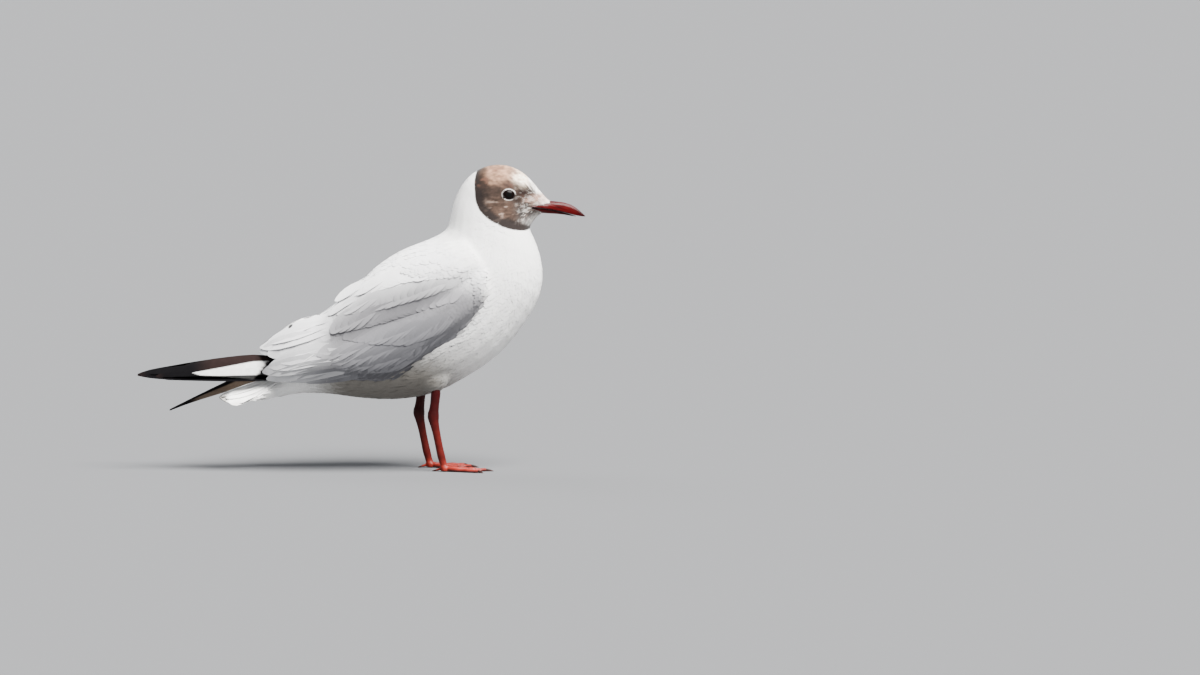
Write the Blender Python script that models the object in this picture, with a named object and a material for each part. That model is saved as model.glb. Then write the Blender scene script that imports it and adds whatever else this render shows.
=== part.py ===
"""A black-headed gull, life size, standing at rest with folded wings.

Frame: metres, +X towards the bill, +Y to the bird's left, +Z up, with the soles on z = 0.
The bird's own mid-plane is y = 0. The body is a loft through upright ribs, parted by thin
cuts into rump, abdomen, breast, neck and head. Each folded wing lies on that body in panels, and the
flight feathers, tail, legs and bill are solids of their own. The last step shifts the whole
bird so that the origin lies under the middle of its outline.
"""

import math
from collections import namedtuple

import bmesh
import bpy
from mathutils import Vector

MM = 0.001
GAP = 0.3  # between neighbouring solids, mm
CUTTER_GROWTH = 0.35  # how much larger a cutter is than the piece that fills its place, mm
RIB_POINTS = 24  # round the body

# Driving dimensions, mm
EYE_RADIUS = 6.2
EYE_CENTRE = (124.2, 11.2, 232.3)
FOOT_RIGHT = (70.0, -20.0)
FOOT_LEFT = (57.0, 20.0)
THIGH_PLACE = (-9.0, 84.0)  # the middle of a thigh: forward of its foot, and height
THIGH_RADII = (15.0, 9.0, 18.0)

# The body's ribs: a point on the back line, one on the belly line, the half width, and how far
# up from belly to back the rib is widest. "fall" makes the lower half slimmer below 2.
Rib = namedtuple("Rib", "name back belly half_width widest fall")
RIBS = (
    Rib("vent", (-69.5, 82), (-69.5, 62.6), 15, 0.50, 2.0),
    Rib("rump", (-46, 101), (-47.5, 64.6), 22, 0.48, 2.0),
    Rib("loin", (-26, 122), (-25, 63.6), 30, 0.46, 2.0),
    Rib("flank", (-9, 148), (0, 60.4), 37, 0.45, 2.0),
    Rib("thigh", (11, 170), (28, 59.2), 40.5, 0.46, 2.0),
    Rib("belly", (31, 183.5), (58, 63.6), 42, 0.47, 2.0),
    Rib("saddle", (48, 190.8), (87, 77.3), 42, 0.48, 2.0),
    Rib("shoulder", (58.5, 194.8), (115, 97), 41, 0.48, 2.0),
    Rib("breast", (65.5, 198.2), (136, 121.8), 38.5, 0.48, 2.0),
    Rib("crop", (69.8, 201), (149.5, 146), 35.5, 0.48, 2.0),
    Rib("collar", (72.8, 205), (152.4, 169), 31.5, 0.48, 2.0),
    Rib("neck", (74.4, 211), (147.3, 189.5), 27.5, 0.47, 2.0),
    Rib("throat", (76, 219.5), (142.4, 200.3), 24.5, 0.46, 2.0),
    Rib("nape", (80.4, 232.5), (141.6, 204), 21.5, 0.47, 2.0),
    Rib("hindhead", (89, 245.5), (143.2, 207), 19.6, 0.48, 1.95),
    Rib("crown", (101, 253.9), (145.2, 209.8), 17.8, 0.50, 1.85),
    Rib("cheek", (114, 256.8), (147, 212), 16.0, 0.52, 1.75),
    Rib("eye", (126.5, 254.9), (148.8, 213.6), 13.8, 0.54, 1.7),
    Rib("lore", (137, 248.9), (150.4, 214.9), 11.2, 0.52, 1.75),
    Rib("forehead", (145.5, 240.4), (151.8, 215.8), 8.8, 0.5, 1.8),
    Rib("frons", (152, 232.4), (153, 216.6), 6.8, 0.5, 1.9),
    Rib("bill_root", (157.8, 226.6), (154, 217.2), 4.8, 0.5, 2.0),
)
RIB_AT = {rib.name: index for index, rib in enumerate(RIBS)}

# The bed on which the folded wings lie: behind the flank it stands off the rump.
BED = (
    Rib("tip_bed", (-88, 98.5), (-86, 66), 15.5, 0.55, 2.0),
    Rib("tertial_bed", (-72, 111.8), (-70, 64), 24.5, 0.50, 2.0),
    Rib("rump_bed", (-53, 123.2), (-50, 63.5), 31.5, 0.47, 2.0),
    Rib("loin_bed", (-31, 131), (-26, 62.8), 36.5, 0.46, 2.0),
    Rib("flank_bed", (-9, 149.5), (0, 60.2), 39.6, 0.45, 2.0),
) + RIBS[RIB_AT["thigh"] : RIB_AT["neck"] + 1]
BED_AT = {rib.name: index for index, rib in enumerate(BED)}


def collection(name):
    made = bpy.data.collections.new(name)
    bpy.context.scene.collection.children.link(made)
    return made


def material(name, colour, roughness):
    made = bpy.data.materials.new(name)
    made.use_nodes = True
    shader = made.node_tree.nodes["Principled BSDF"]
    shader.inputs["Base Color"].default_value = (*colour, 1.0)
    shader.inputs["Roughness"].default_value = roughness
    shader.inputs["Metallic"].default_value = 0.0
    return made


def clear_scene():
    for old in list(bpy.data.objects):
        bpy.data.objects.remove(old, do_unlink=True)


def spline(keys, at):
    """The smooth curve through the keys, each a tuple of numbers, at a fractional index."""
    last = len(keys) - 1
    at = min(max(at, 0.0), float(last))
    low = min(int(at), last - 1)
    part = at - low
    before, start, end, after = (keys[min(max(low + k, 0), last)] for k in (-1, 0, 1, 2))
    found = []
    for a, b, c, d in zip(before, start, end, after):
        rise_start, rise_end = (c - a) / 2, (d - b) / 2
        found.append(
            b * (2 * part**3 - 3 * part**2 + 1)
            + c * (3 * part**2 - 2 * part**3)
            + rise_start * (part**3 - 2 * part**2 + part)
            + rise_end * (part**3 - part**2)
        )
    return found


def rib_numbers(ribs):
    return [(*r.back, *r.belly, r.half_width, r.widest, r.fall) for r in ribs]


def rib_point(ribs, at, angle, growth=0.0):
    """A point of the loft: angle 0 is the back line, 90 degrees the left side, 180 the belly."""
    back_x, back_z, belly_x, belly_z, half_width, widest, fall = spline(rib_numbers(ribs), at)
    back, belly = Vector((back_x, 0, back_z)), Vector((belly_x, 0, belly_z))
    centre = belly.lerp(back, widest)
    rise, side = math.cos(angle), math.sin(angle)
    power = 2 / 2.1 if rise > 0 else 2 / fall
    reach = abs(rise) ** power
    across = math.copysign(abs(side) ** power, side)
    arm = (back if rise > 0 else belly) - centre
    arm = arm.normalized() * (arm.length + growth)
    return centre + arm * reach + Vector((0, across * (half_width + growth), 0))


def rib_normal(ribs, at):
    """The way the rib's plane faces, towards the head."""
    back_x, back_z, belly_x, belly_z = spline(rib_numbers(ribs), at)[:4]
    up = Vector((back_x - belly_x, 0, back_z - belly_z)).normalized()
    return Vector((up.z, 0, -up.x))


def add_mesh(name, points, faces, finish, where):
    """A mesh object from points in mm, with its faces turned outwards."""
    mesh = bpy.data.meshes.new(name)
    mesh.from_pydata([tuple(c * MM for c in p) for p in points], [], faces)
    shape = bmesh.new()
    shape.from_mesh(mesh)
    bmesh.ops.recalc_face_normals(shape, faces=shape.faces)
    shape.to_mesh(mesh)
    shape.free()
    mesh.shade_smooth()
    mesh.set_sharp_from_angle(angle=math.radians(40))
    made = bpy.data.objects.new(name, mesh)
    where.objects.link(made)
    if finish:
        mesh.materials.append(finish)
    return made


def loft(rings):
    """Points and faces of a closed solid through rings of equally many points."""
    count = len(rings[0])
    points = [p for ring in rings for p in ring]
    faces = [
        (
            row * count + i,
            row * count + (i + 1) % count,
            (row + 1) * count + (i + 1) % count,
            (row + 1) * count + i,
        )
        for row in range(len(rings) - 1)
        for i in range(count)
    ]
    faces.append(tuple(range(count)))
    faces.append(tuple(reversed(range((len(rings) - 1) * count, len(rings) * count))))
    return points, faces


def body_rings(first, last, steps, growth=0.0, trim=GAP / 2):
    """Rings of the body from one named rib to another, trimmed at both ends for the cuts."""
    start, stop = RIB_AT[first], RIB_AT[last]
    count = (stop - start) * steps
    rings = []
    for step in range(count + 1):
        at = start + step / steps
        shift = rib_normal(RIBS, at) * (trim if step == 0 else -trim if step == count else 0)
        turn = 2 * math.pi / RIB_POINTS
        rings.append([rib_point(RIBS, at, turn * i, growth) + shift for i in range(RIB_POINTS)])
    return rings


def as_cutter(thing):
    thing.hide_render = True
    thing.display_type = "WIRE"
    return thing


def boolean(thing, other, operation="DIFFERENCE"):
    step = thing.modifiers.new(operation.lower(), "BOOLEAN")
    step.operation = operation
    step.solver = "EXACT"
    step.object = other


# ---------------------------------------------------------------- body


def make_body(finishes, bird, cutters):
    parts = {}
    for name, first, last, steps, finish in (
        ("rump", "vent", "loin", 2, "white_down"),
        ("abdomen", "loin", "saddle", 2, "white_down"),
        ("breast", "saddle", "collar", 2, "white_breast"),
        ("neck", "collar", "nape", 2, "white_breast"),
        ("head", "nape", "bill_root", 2, "hood"),
    ):
        rings = body_rings(first, last, steps)
        parts[name] = add_mesh(name, *loft(rings), finishes[finish], bird)
    whole = loft(body_rings("vent", "collar", 2, growth=CUTTER_GROWTH, trim=0.0))
    parts["body_cutter"] = as_cutter(add_mesh("body_cutter", *whole, None, cutters))
    return parts


def thigh(name, foot, growth, cutters):
    """A feathered thigh, which hangs from the belly round the top of a leg."""
    shape = bmesh.new()
    bmesh.ops.create_uvsphere(shape, u_segments=12, v_segments=8, radius=1)
    radii = [(radius + growth) * MM for radius in THIGH_RADII]
    bmesh.ops.scale(shape, vec=radii, verts=shape.verts)
    place = Vector((foot[0] + THIGH_PLACE[0], foot[1] * 0.97, THIGH_PLACE[1])) * MM
    bmesh.ops.translate(shape, vec=place, verts=shape.verts)
    mesh = bpy.data.meshes.new(name)
    shape.to_mesh(mesh)
    shape.free()
    made = bpy.data.objects.new(name, mesh)
    cutters.objects.link(made)
    return as_cutter(made)


def make_eyes(head, finishes, bird, cutters):
    for side, name in ((1, "left"), (-1, "right")):
        place = Vector((EYE_CENTRE[0], side * EYE_CENTRE[1], EYE_CENTRE[2])) * MM
        for radius, label, where in (
            (EYE_RADIUS, f"eye_{name}", bird),
            (EYE_RADIUS + CUTTER_GROWTH, f"socket_{name}_cutter", cutters),
        ):
            mesh = bpy.data.meshes.new(label)
            shape = bmesh.new()
            bmesh.ops.create_uvsphere(shape, u_segments=12, v_segments=8, radius=radius * MM)
            shape.to_mesh(mesh)
            shape.free()
            mesh.shade_smooth()
            ball = bpy.data.objects.new(label, mesh)
            ball.location = place
            ball.rotation_euler = (math.radians(90), 0, 0)
            where.objects.link(ball)
            if where is bird:
                mesh.materials.append(finishes["eye"])
            else:
                boolean(head, as_cutter(ball))


# ---------------------------------------------------------------- bill

# Each row of a mandible: x, ridge or keel height, cutting-edge height, half width.
UPPER_BILL = (
    (140.5, 223.8, 221.8, 11.3),
    (146.0, 225.4, 221.2, 9.9),
    (152.0, 226.3, 220.4, 6.7),
    (158.0, 226.3, 219.4, 4.9),
    (164.0, 225.8, 218.3, 4.1),
    (170.0, 225.0, 216.9, 3.4),
    (176.0, 223.2, 215.2, 2.7),
    (181.0, 220.1, 213.9, 2.0),
    (185.0, 216.7, 213.2, 1.3),
    (188.2, 213.7, 212.9, 0.5),
)
LOWER_BILL = (
    (140.5, 219.4, 221.4, 11.0),
    (146.0, 217.3, 220.8, 9.3),
    (152.0, 215.9, 220.0, 6.2),
    (158.0, 215.5, 219.0, 4.4),
    (164.0, 215.2, 217.9, 3.6),
    (170.0, 214.6, 216.5, 2.9),
    (176.0, 213.6, 214.8, 2.2),
    (180.5, 213.0, 213.6, 1.4),
)
BILL_POINTS = 8  # from one cutting edge over the ridge to the other
BILL_CLEARANCE = 0.55  # between the bill and the head round it


def bill_rings(rows):
    """Rings across one half of the bill: a rounded ridge or keel over a flat cutting face."""
    rings = []
    for x, ridge, edge, half_width in rows:
        ring = []
        for i in range(BILL_POINTS + 1):
            angle = math.pi * i / BILL_POINTS
            rise = (ridge - edge) * math.sin(angle) ** 1.1
            ring.append(Vector((x, half_width * math.cos(angle), edge + rise)))
        rings.append(ring)
    return rings


def bill_socket_rings():
    """Rings round both halves of the bill, from behind its root to past the end of the head."""
    rings = []
    for upper, lower in list(zip(UPPER_BILL, LOWER_BILL))[:5]:
        x, ridge, edge, half_width = upper
        x -= 0 if rings else BILL_CLEARANCE
        ring = []
        for i in range(2 * BILL_POINTS):
            angle = math.pi * i / BILL_POINTS
            side, rise = math.cos(angle), math.sin(angle)
            reach = (ridge - edge if rise > 0 else edge - lower[1]) + BILL_CLEARANCE
            height = math.copysign(abs(rise) ** 1.1, rise) * reach
            ring.append(Vector((x, (half_width + BILL_CLEARANCE) * side, edge + height)))
        rings.append(ring)
    return rings


def make_bill(head, finishes, bird, cutters):
    for name, rows in (("bill_upper", UPPER_BILL), ("bill_lower", LOWER_BILL)):
        add_mesh(name, *loft(bill_rings(rows)), finishes["bill"], bird)
    socket = add_mesh("bill_cutter", *loft(bill_socket_rings()), None, cutters)
    boolean(head, as_cutter(socket))


# ---------------------------------------------------------------- wings

# Each wing panel's stations run from front to back. A station is where its upper edge and its
# lower edge lie on the bed, as a rib index and degrees round from the back line, and the
# panel's depth there. Panels lie edge to edge.
Station = namedtuple("Station", "upper_at upper_deg lower_at lower_deg depth")
PANELS = {
    "scapulars": (
        Station(10.45, 52, 9.75, 80, 3.0),
        Station(9.40, 38, 8.80, 78, 5.5),
        Station(8.00, 30, 7.60, 78, 6.6),
        Station(6.85, 26, 6.50, 78, 6.6),
        Station(5.95, 22, 5.65, 77, 6.0),
        Station(5.05, 17, 4.80, 76, 5.2),
        Station(4.20, 11, 4.05, 76, 4.4),
        Station(3.55, 5, 3.40, 75, 3.6),
        Station(3.05, 4, 3.10, 74, 2.8),
    ),
    "coverts": (
        Station(9.70, 82, 9.00, 99, 2.6),
        Station(8.75, 80, 8.25, 102, 5.0),
        Station(7.55, 80, 7.20, 106, 6.2),
        Station(6.45, 80, 6.15, 112, 6.2),
        Station(5.60, 79, 5.40, 123, 5.6),
        Station(4.75, 78, 4.75, 126, 4.8),
        Station(4.00, 78, 4.10, 124, 4.2),
        Station(3.40, 77, 3.55, 122, 3.6),
        Station(3.10, 76, 3.15, 121, 2.8),
    ),
    "tertials": (
        Station(3.02, 4, 3.07, 61, 2.8),
        Station(2.50, 4, 2.60, 62, 2.6),
        Station(2.00, 4, 2.15, 63, 2.4),
        Station(1.50, 4, 1.70, 64, 2.2),
        Station(1.00, 4, 1.25, 62, 2.0),
        Station(0.50, 5, 0.75, 52, 1.7),
        Station(0.10, 8, 0.25, 34, 1.2),
    ),
    "secondaries": (
        Station(3.07, 63, 3.12, 121, 2.8),
        Station(2.60, 64, 2.60, 121, 2.5),
        Station(2.15, 65, 2.10, 121, 2.3),
        Station(1.70, 66, 1.60, 120, 2.1),
        Station(1.25, 66, 1.15, 119, 2.0),
        Station(0.80, 66, 0.75, 115, 1.8),
        Station(0.42, 78, 0.42, 105, 1.4),
    ),
}
PANEL_FINISH = {
    "scapulars": "grey_wing",
    "coverts": "grey_wing",
    "tertials": "pale_wing",
    "secondaries": "pale_wing",
}
PANEL_ROWS, PANEL_ACROSS = 12, 5
EDGE_DEPTH = 0.9  # thickness at a panel's rim
BED_CLEARANCE = 0.6  # between the bed and a panel's inner face


def bed_point(at, degrees, side):
    found = rib_point(BED, at, math.radians(degrees))
    found.y *= side
    return found


def bed_normal(at, degrees, side):
    """The bed's outward normal, from small steps along and round it."""
    along = bed_point(at + 0.05, degrees, side) - bed_point(at - 0.05, degrees, side)
    low, high = max(degrees - 2, 0.2), degrees + 2
    round_it = bed_point(at, high, side) - bed_point(at, low, side)
    normal = along.cross(round_it) * side
    return normal.normalized()


def panel_depth(depth, lengthwise, across):
    """A panel is full in its middle and thins to its rim."""
    swell = (math.sin(math.pi * min(max(across, 0.0), 1.0))) ** 0.6
    front = min(1.0, 0.35 + lengthwise * 6)
    return EDGE_DEPTH + (depth - EDGE_DEPTH) * swell * front


def panel_mesh(stations, side):
    """A closed shell whose inner face follows the bed."""
    rows = PANEL_ROWS
    inner, outer = [], []
    for row in range(rows + 1):
        station = row / rows * (len(stations) - 1)
        upper_at, upper_deg, lower_at, lower_deg, depth = spline(stations, station)
        for column in range(PANEL_ACROSS + 1):
            across = column / PANEL_ACROSS
            at = upper_at + (lower_at - upper_at) * across
            degrees = upper_deg + (lower_deg - upper_deg) * across
            foot = bed_point(at, degrees, side)
            normal = bed_normal(at, degrees, side)
            inner.append(foot + normal * BED_CLEARANCE)
            lift = BED_CLEARANCE + panel_depth(depth, row / rows, across)
            outer.append(foot + normal * lift)
    width = PANEL_ACROSS + 1
    count = len(inner)
    faces = []
    for row in range(rows):
        for column in range(PANEL_ACROSS):
            corner = row * width + column
            quad = (corner, corner + 1, corner + width + 1, corner + width)
            faces.append(quad)
            faces.append(tuple(count + i for i in reversed(quad)))
    rim = list(range(width))
    rim += [row * width + PANEL_ACROSS for row in range(1, rows + 1)]
    rim += [rows * width + column for column in range(PANEL_ACROSS - 1, -1, -1)]
    rim += [row * width for row in range(rows - 1, 0, -1)]
    for here, there in zip(rim, rim[1:] + rim[:1]):
        faces.append((there, here, count + here, count + there))
    return inner + outer, faces


# The primaries of each wing close into one blade. A station is x, then y and z of the lower
# outer edge, y and z of the upper inner edge, and the blade's thickness.
Blade = namedtuple("Blade", "x low_y low_z high_y high_z depth")
RIGHT_BLADE = (
    Blade(-56, 21.0, 77.5, 12.0, 96.0, 2.2),
    Blade(-72, 17.4, 76.6, 8.0, 96.2, 2.2),
    Blade(-90, 16.2, 76.0, 5.6, 97.4, 2.2),
    Blade(-112, 14.4, 75.7, 5.0, 95.4, 2.1),
    Blade(-136, 12.5, 75.9, 4.6, 92.0, 1.9),
    Blade(-160, 9.0, 76.3, 3.8, 87.8, 1.6),
    Blade(-178, 6.6, 77.6, 3.8, 84.4, 1.3),
    Blade(-188, 5.2, 79.5, 4.8, 81.0, 0.9),
)
LEFT_BLADE = (
    Blade(-56, 21.5, 79.0, 12.0, 96.0, 2.2),
    Blade(-72, 19.2, 76.0, 9.0, 92.0, 2.2),
    Blade(-88, 20.6, 72.8, 8.8, 85.8, 2.2),
    Blade(-104, 22.6, 68.0, 8.6, 78.0, 2.1),
    Blade(-120, 22.0, 62.6, 9.6, 70.2, 1.8),
    Blade(-136, 20.0, 57.8, 11.4, 62.4, 1.5),
    Blade(-151, 17.8, 52.8, 13.4, 54.8, 1.2),
    Blade(-162.5, 15.8, 48.5, 15.2, 49.1, 0.9),
)
BLADE_POINTS = 10


def blade_mesh(stations, side):
    """A loft of flat lens-shaped sections, bowed a little outwards."""
    rings = []
    count = (len(stations) - 1) * 2
    for step in range(count + 1):
        x, low_y, low_z, high_y, high_z, depth = spline(stations, step / 2)
        low, high = Vector((x, low_y, low_z)), Vector((x, high_y, high_z))
        chord = high - low
        out = Vector((0, chord.z, -chord.y)).normalized()
        middle, ring = low.lerp(high, 0.5), []
        for i in range(BLADE_POINTS):
            angle = 2 * math.pi * i / BLADE_POINTS
            along, thick = math.cos(angle), math.sin(angle)
            bow = 0.10 * chord.length * (1 - along**2)
            place = middle + chord * (along / 2) + out * (bow + thick * depth / 2)
            place.y *= side
            ring.append(place)
        rings.append(ring)
    return loft(rings)


def make_wings(finishes, bird):
    for side, name, blade in ((1, "left", LEFT_BLADE), (-1, "right", RIGHT_BLADE)):
        for panel, stations in PANELS.items():
            add_mesh(
                f"wing_{name}_{panel}",
                *panel_mesh(stations, side),
                finishes[PANEL_FINISH[panel]],
                bird,
            )
        add_mesh(
            f"wing_{name}_primaries", *blade_mesh(blade, side), finishes["black_quill"], bird
        )


# ---------------------------------------------------------------- tail

# x, height of the middle of the fan, how far its sides fall, half width, depth of the middle.
TAIL = (
    (-69.5, 82.0, 8.0, 15.0, 18.0),
    (-76.0, 79.0, 9.0, 17.0, 14.5),
    (-84.0, 75.2, 10.5, 19.0, 10.5),
    (-92.0, 72.4, 12.0, 20.8, 6.5),
    (-100.0, 69.8, 12.0, 22.4, 3.4),
    (-108.0, 67.2, 10.6, 23.6, 2.0),
    (-115.0, 64.6, 7.6, 22.6, 1.5),
    (-119.7, 61.6, 3.2, 18.0, 1.1),
)
TAIL_POINTS = 10


def make_tail(finishes, bird):
    """An arched fan that grows out of the tail coverts."""
    rings = []
    for step, (x, middle, fall, half_width, depth) in enumerate(TAIL):
        x -= GAP / 2 if step == 0 else 0
        top, under = [], []
        for i in range(TAIL_POINTS + 1):
            share = 2 * i / TAIL_POINTS - 1
            height = middle - fall * share**2
            thick = 0.8 + (depth - 0.8) * (1 - share**2) ** 0.5
            top.append(Vector((x, half_width * share, height)))
            under.append(Vector((x, half_width * share, height - thick)))
        rings.append(top + under[::-1])
    add_mesh("tail", *loft(rings), finishes["white_down"], bird)


# ---------------------------------------------------------------- legs

LEG_POINTS = 10
# Each leg's rings: distance forward of the foot, height, fore-and-aft radius, side radius.
TIBIA = (
    (-6.6, 80.0, 3.9, 3.4),
    (-7.2, 66.0, 3.5, 3.0),
    (-8.2, 56.0, 3.3, 2.8),
    (-9.0, 50.5, 3.8, 3.0),
)
TARSUS = (
    (-9.2, 50.2, 4.0, 3.1),
    (-9.3, 45.8, 4.3, 3.2),
    (-8.8, 42.0, 3.6, 2.7),
    (-7.0, 34.0, 2.8, 2.1),
    (-4.6, 22.0, 2.6, 1.9),
    (-2.2, 11.0, 2.9, 2.2),
    (-0.8, 6.2, 3.2, 2.7),
)
ANKLE = (
    (-0.6, 5.9, 3.0, 2.6),
    (-0.2, 4.4, 3.5, 3.3),
    (0.4, 2.6, 3.8, 3.9),
    (0.6, 0.4, 3.4, 3.6),
)
# Each toe: its name, the way it points in degrees, its length, its root and tip radius.
Toe = namedtuple("Toe", "name heading length root_radius tip_radius")
TOES = (
    Toe("inner", 30, 27.0, 2.1, 1.35),
    Toe("middle", 2, 35.0, 2.3, 1.4),
    Toe("outer", -27, 32.0, 2.1, 1.35),
)
HALLUX = Toe("hind", 168, 7.5, 1.6, 0.9)
CLAW_POINTS, CLAW_STEPS = 6, 4
CLAW_LENGTH = {"inner": 4.4, "middle": 6.0, "outer": 4.6, "hind": 2.8}
TOE_POINTS, TOE_STEPS = 8, 6
TOE_HEIGHT = 1.75  # of a toe's middle line over the floor
WEB_LOW, WEB_HIGH = 0.55, 1.45  # the web's faces over the floor
WEB_SCALLOP = 0.16  # how deep the web's free edge curves in


def leg_rings(rows, foot):
    x, y = foot
    rings = []
    count = (len(rows) - 1) * 2
    for step in range(count + 1):
        forward, height, fore, wide = spline(rows, step / 2)
        rings.append(
            [
                Vector(
                    (
                        x + forward + fore * math.cos(2 * math.pi * i / LEG_POINTS),
                        y + wide * math.sin(2 * math.pi * i / LEG_POINTS),
                        height,
                    )
                )
                for i in range(LEG_POINTS)
            ]
        )
    return rings


def toe_direction(toe, side):
    """The toe's heading on this foot: inner toes point towards the mid-plane."""
    turn = math.radians(toe.heading) * -side
    return Vector((math.cos(turn), math.sin(turn), 0))


def toe_rings(toe, foot, side):
    """Rings along a toe that swells at its joints and comes down to its tip."""
    ahead = toe_direction(toe, side)
    aside = Vector((-ahead.y, ahead.x, 0))
    rings = []
    for step in range(TOE_STEPS + 1):
        share = step / TOE_STEPS
        radius = toe.root_radius + (toe.tip_radius - toe.root_radius) * share
        radius *= 1 + 0.10 * math.cos(2 * math.pi * 3 * share)
        height = min(TOE_HEIGHT, radius) + (1.4 * (1 - share) ** 4 if toe is not HALLUX else 0)
        if toe is HALLUX:
            height = 3.4 * (1 - share) + 1.15 * share
        centre = Vector((foot[0], foot[1], height)) + ahead * (toe.length * share)
        rings.append(
            [
                centre
                + aside * (radius * math.cos(2 * math.pi * i / TOE_POINTS))
                + Vector((0, 0, radius * math.sin(2 * math.pi * i / TOE_POINTS)))
                for i in range(TOE_POINTS)
            ]
        )
    return rings


def web_outline(foot, side):
    """The web's outline: out along the inner toe, across two scallops, and back."""
    root = Vector((foot[0], foot[1], 0))
    tips = [root + toe_direction(toe, side) * (toe.length * 0.97) for toe in TOES]
    outline = [root - Vector((1.0, 0, 0))]
    for here, there in zip(tips, tips[1:]):
        for step in range(7):
            share = step / 6
            edge = here.lerp(there, share)
            inwards = (root - edge) * (WEB_SCALLOP * 4 * share * (1 - share))
            if (edge + inwards - outline[-1]).length > 0.1:
                outline.append(edge + inwards)
    return outline


def make_web(name, foot, side, finishes, bird):
    outline = web_outline(foot, side)
    count = len(outline)
    low = [Vector((p.x, p.y, WEB_LOW)) for p in outline]
    high = [Vector((p.x, p.y, WEB_HIGH)) for p in outline]
    faces = [tuple(range(count)), tuple(reversed(range(count, 2 * count)))]
    faces += [(i, (i + 1) % count, (i + 1) % count + count, i + count) for i in range(count)]
    return add_mesh(name, low + high, faces, finishes["leg"], bird)


def floor_cutter(cutters):
    """A slab whose top is the floor, to give every toe its flat."""
    bpy.ops.mesh.primitive_cube_add(size=1, location=(0.06, 0, -0.01))
    slab = bpy.context.object
    slab.name = "floor_cutter"
    slab.scale = (0.3, 0.3, 0.02)
    for old in list(slab.users_collection):
        old.objects.unlink(slab)
    cutters.objects.link(slab)
    return as_cutter(slab)


def claw_rings(toe, foot, side):
    """Rings of a claw that curves down to the floor from the end of its toe."""
    ahead = toe_direction(toe, side)
    aside = Vector((-ahead.y, ahead.x, 0))
    length = CLAW_LENGTH[toe.name]
    start = Vector((foot[0], foot[1], 0)) + ahead * (toe.length + GAP)
    rings = []
    for step in range(CLAW_STEPS + 1):
        share = step / CLAW_STEPS
        radius = toe.tip_radius * 0.85 * (1 - share) ** 0.8 + 0.25
        height = max(toe.tip_radius * (1 - 0.75 * share**1.5), radius + 0.05)
        centre = start + ahead * (length * share) + Vector((0, 0, height))
        rings.append(
            [
                centre
                + aside * (0.8 * radius * math.cos(2 * math.pi * i / CLAW_POINTS))
                + Vector((0, 0, radius * math.sin(2 * math.pi * i / CLAW_POINTS)))
                for i in range(CLAW_POINTS)
            ]
        )
    return rings


def make_legs(parts, finishes, bird, cutters):
    """The legs grow out of feathered thighs. Each foot starts as its web and takes in its toes."""
    slab = floor_cutter(cutters)
    for side, name, foot in ((1, "left", FOOT_LEFT), (-1, "right", FOOT_RIGHT)):
        tibia = add_mesh(f"tibia_{name}", *loft(leg_rings(TIBIA, foot)), finishes["leg"], bird)
        boolean(parts["abdomen"], thigh(f"thigh_{name}_joiner", foot, 0.0, cutters), "UNION")
        boolean(tibia, parts["body_cutter"])
        boolean(tibia, thigh(f"thigh_{name}_cutter", foot, CUTTER_GROWTH, cutters))
        add_mesh(f"tarsus_{name}", *loft(leg_rings(TARSUS, foot)), finishes["leg"], bird)
        paddle = make_web(f"foot_{name}", foot, side, finishes, bird)
        joined = {"ankle": leg_rings(ANKLE, foot)}
        for toe in (*TOES, HALLUX):
            joined[f"{toe.name}_toe"] = toe_rings(toe, foot, side)
            claw = loft(claw_rings(toe, foot, side))
            add_mesh(f"claw_{toe.name}_{name}", *claw, finishes["claw"], bird)
        for label, rings in joined.items():
            piece = add_mesh(f"{label}_{name}_joiner", *loft(rings), finishes["leg"], cutters)
            boolean(paddle, as_cutter(piece), "UNION")
        boolean(paddle, slab)


def centre_on_origin(bird):
    """Shifts the bird so that the origin lies under the middle of its outline."""
    bpy.context.view_layer.update()
    graph = bpy.context.evaluated_depsgraph_get()
    corners = []
    for thing in bird.objects:
        shown = thing.evaluated_get(graph)
        corners += [shown.matrix_world @ Vector(corner) for corner in shown.bound_box]
    middle_x = (min(c.x for c in corners) + max(c.x for c in corners)) / 2
    middle_y = (min(c.y for c in corners) + max(c.y for c in corners)) / 2
    for thing in bpy.data.objects:
        thing.location.x -= middle_x
        thing.location.y -= middle_y


def main():
    clear_scene()
    bird, cutters = collection("gull"), collection("cutters")
    finishes = {
        "white_breast": material("white_breast", (0.86, 0.86, 0.85), 0.8),
        "white_down": material("white_down", (0.85, 0.84, 0.82), 0.85),
        "hood": material("hood", (0.35, 0.27, 0.23), 0.85),
        "grey_wing": material("grey_wing", (0.52, 0.53, 0.56), 0.75),
        "pale_wing": material("pale_wing", (0.66, 0.66, 0.68), 0.75),
        "black_quill": material("black_quill", (0.03, 0.03, 0.035), 0.5),
        "bill": material("bill", (0.28, 0.03, 0.03), 0.35),
        "eye": material("eye", (0.02, 0.015, 0.012), 0.08),
        "leg": material("leg", (0.45, 0.06, 0.04), 0.5),
        "claw": material("claw", (0.05, 0.035, 0.03), 0.4),
    }
    parts = make_body(finishes, bird, cutters)
    make_eyes(parts["head"], finishes, bird, cutters)
    make_bill(parts["head"], finishes, bird, cutters)
    make_wings(finishes, bird)
    make_tail(finishes, bird)
    make_legs(parts, finishes, bird, cutters)
    centre_on_origin(bird)


main()
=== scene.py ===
"""A black-headed gull at rest, life size: the skin, plumage, bill, eyes and legs over the frame.

Metres, +X towards the bill, +Y to the bird's left, +Z up. The trunk, neck, head and folded wings
become one smooth form. The skin lies just inside it, and every feather is laid on it with its
root sunk and its tip at the form's surface. Points in the tables are in mm, seen from the side.
"""

import itertools
import math
from collections import namedtuple
from contextlib import contextmanager

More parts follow.
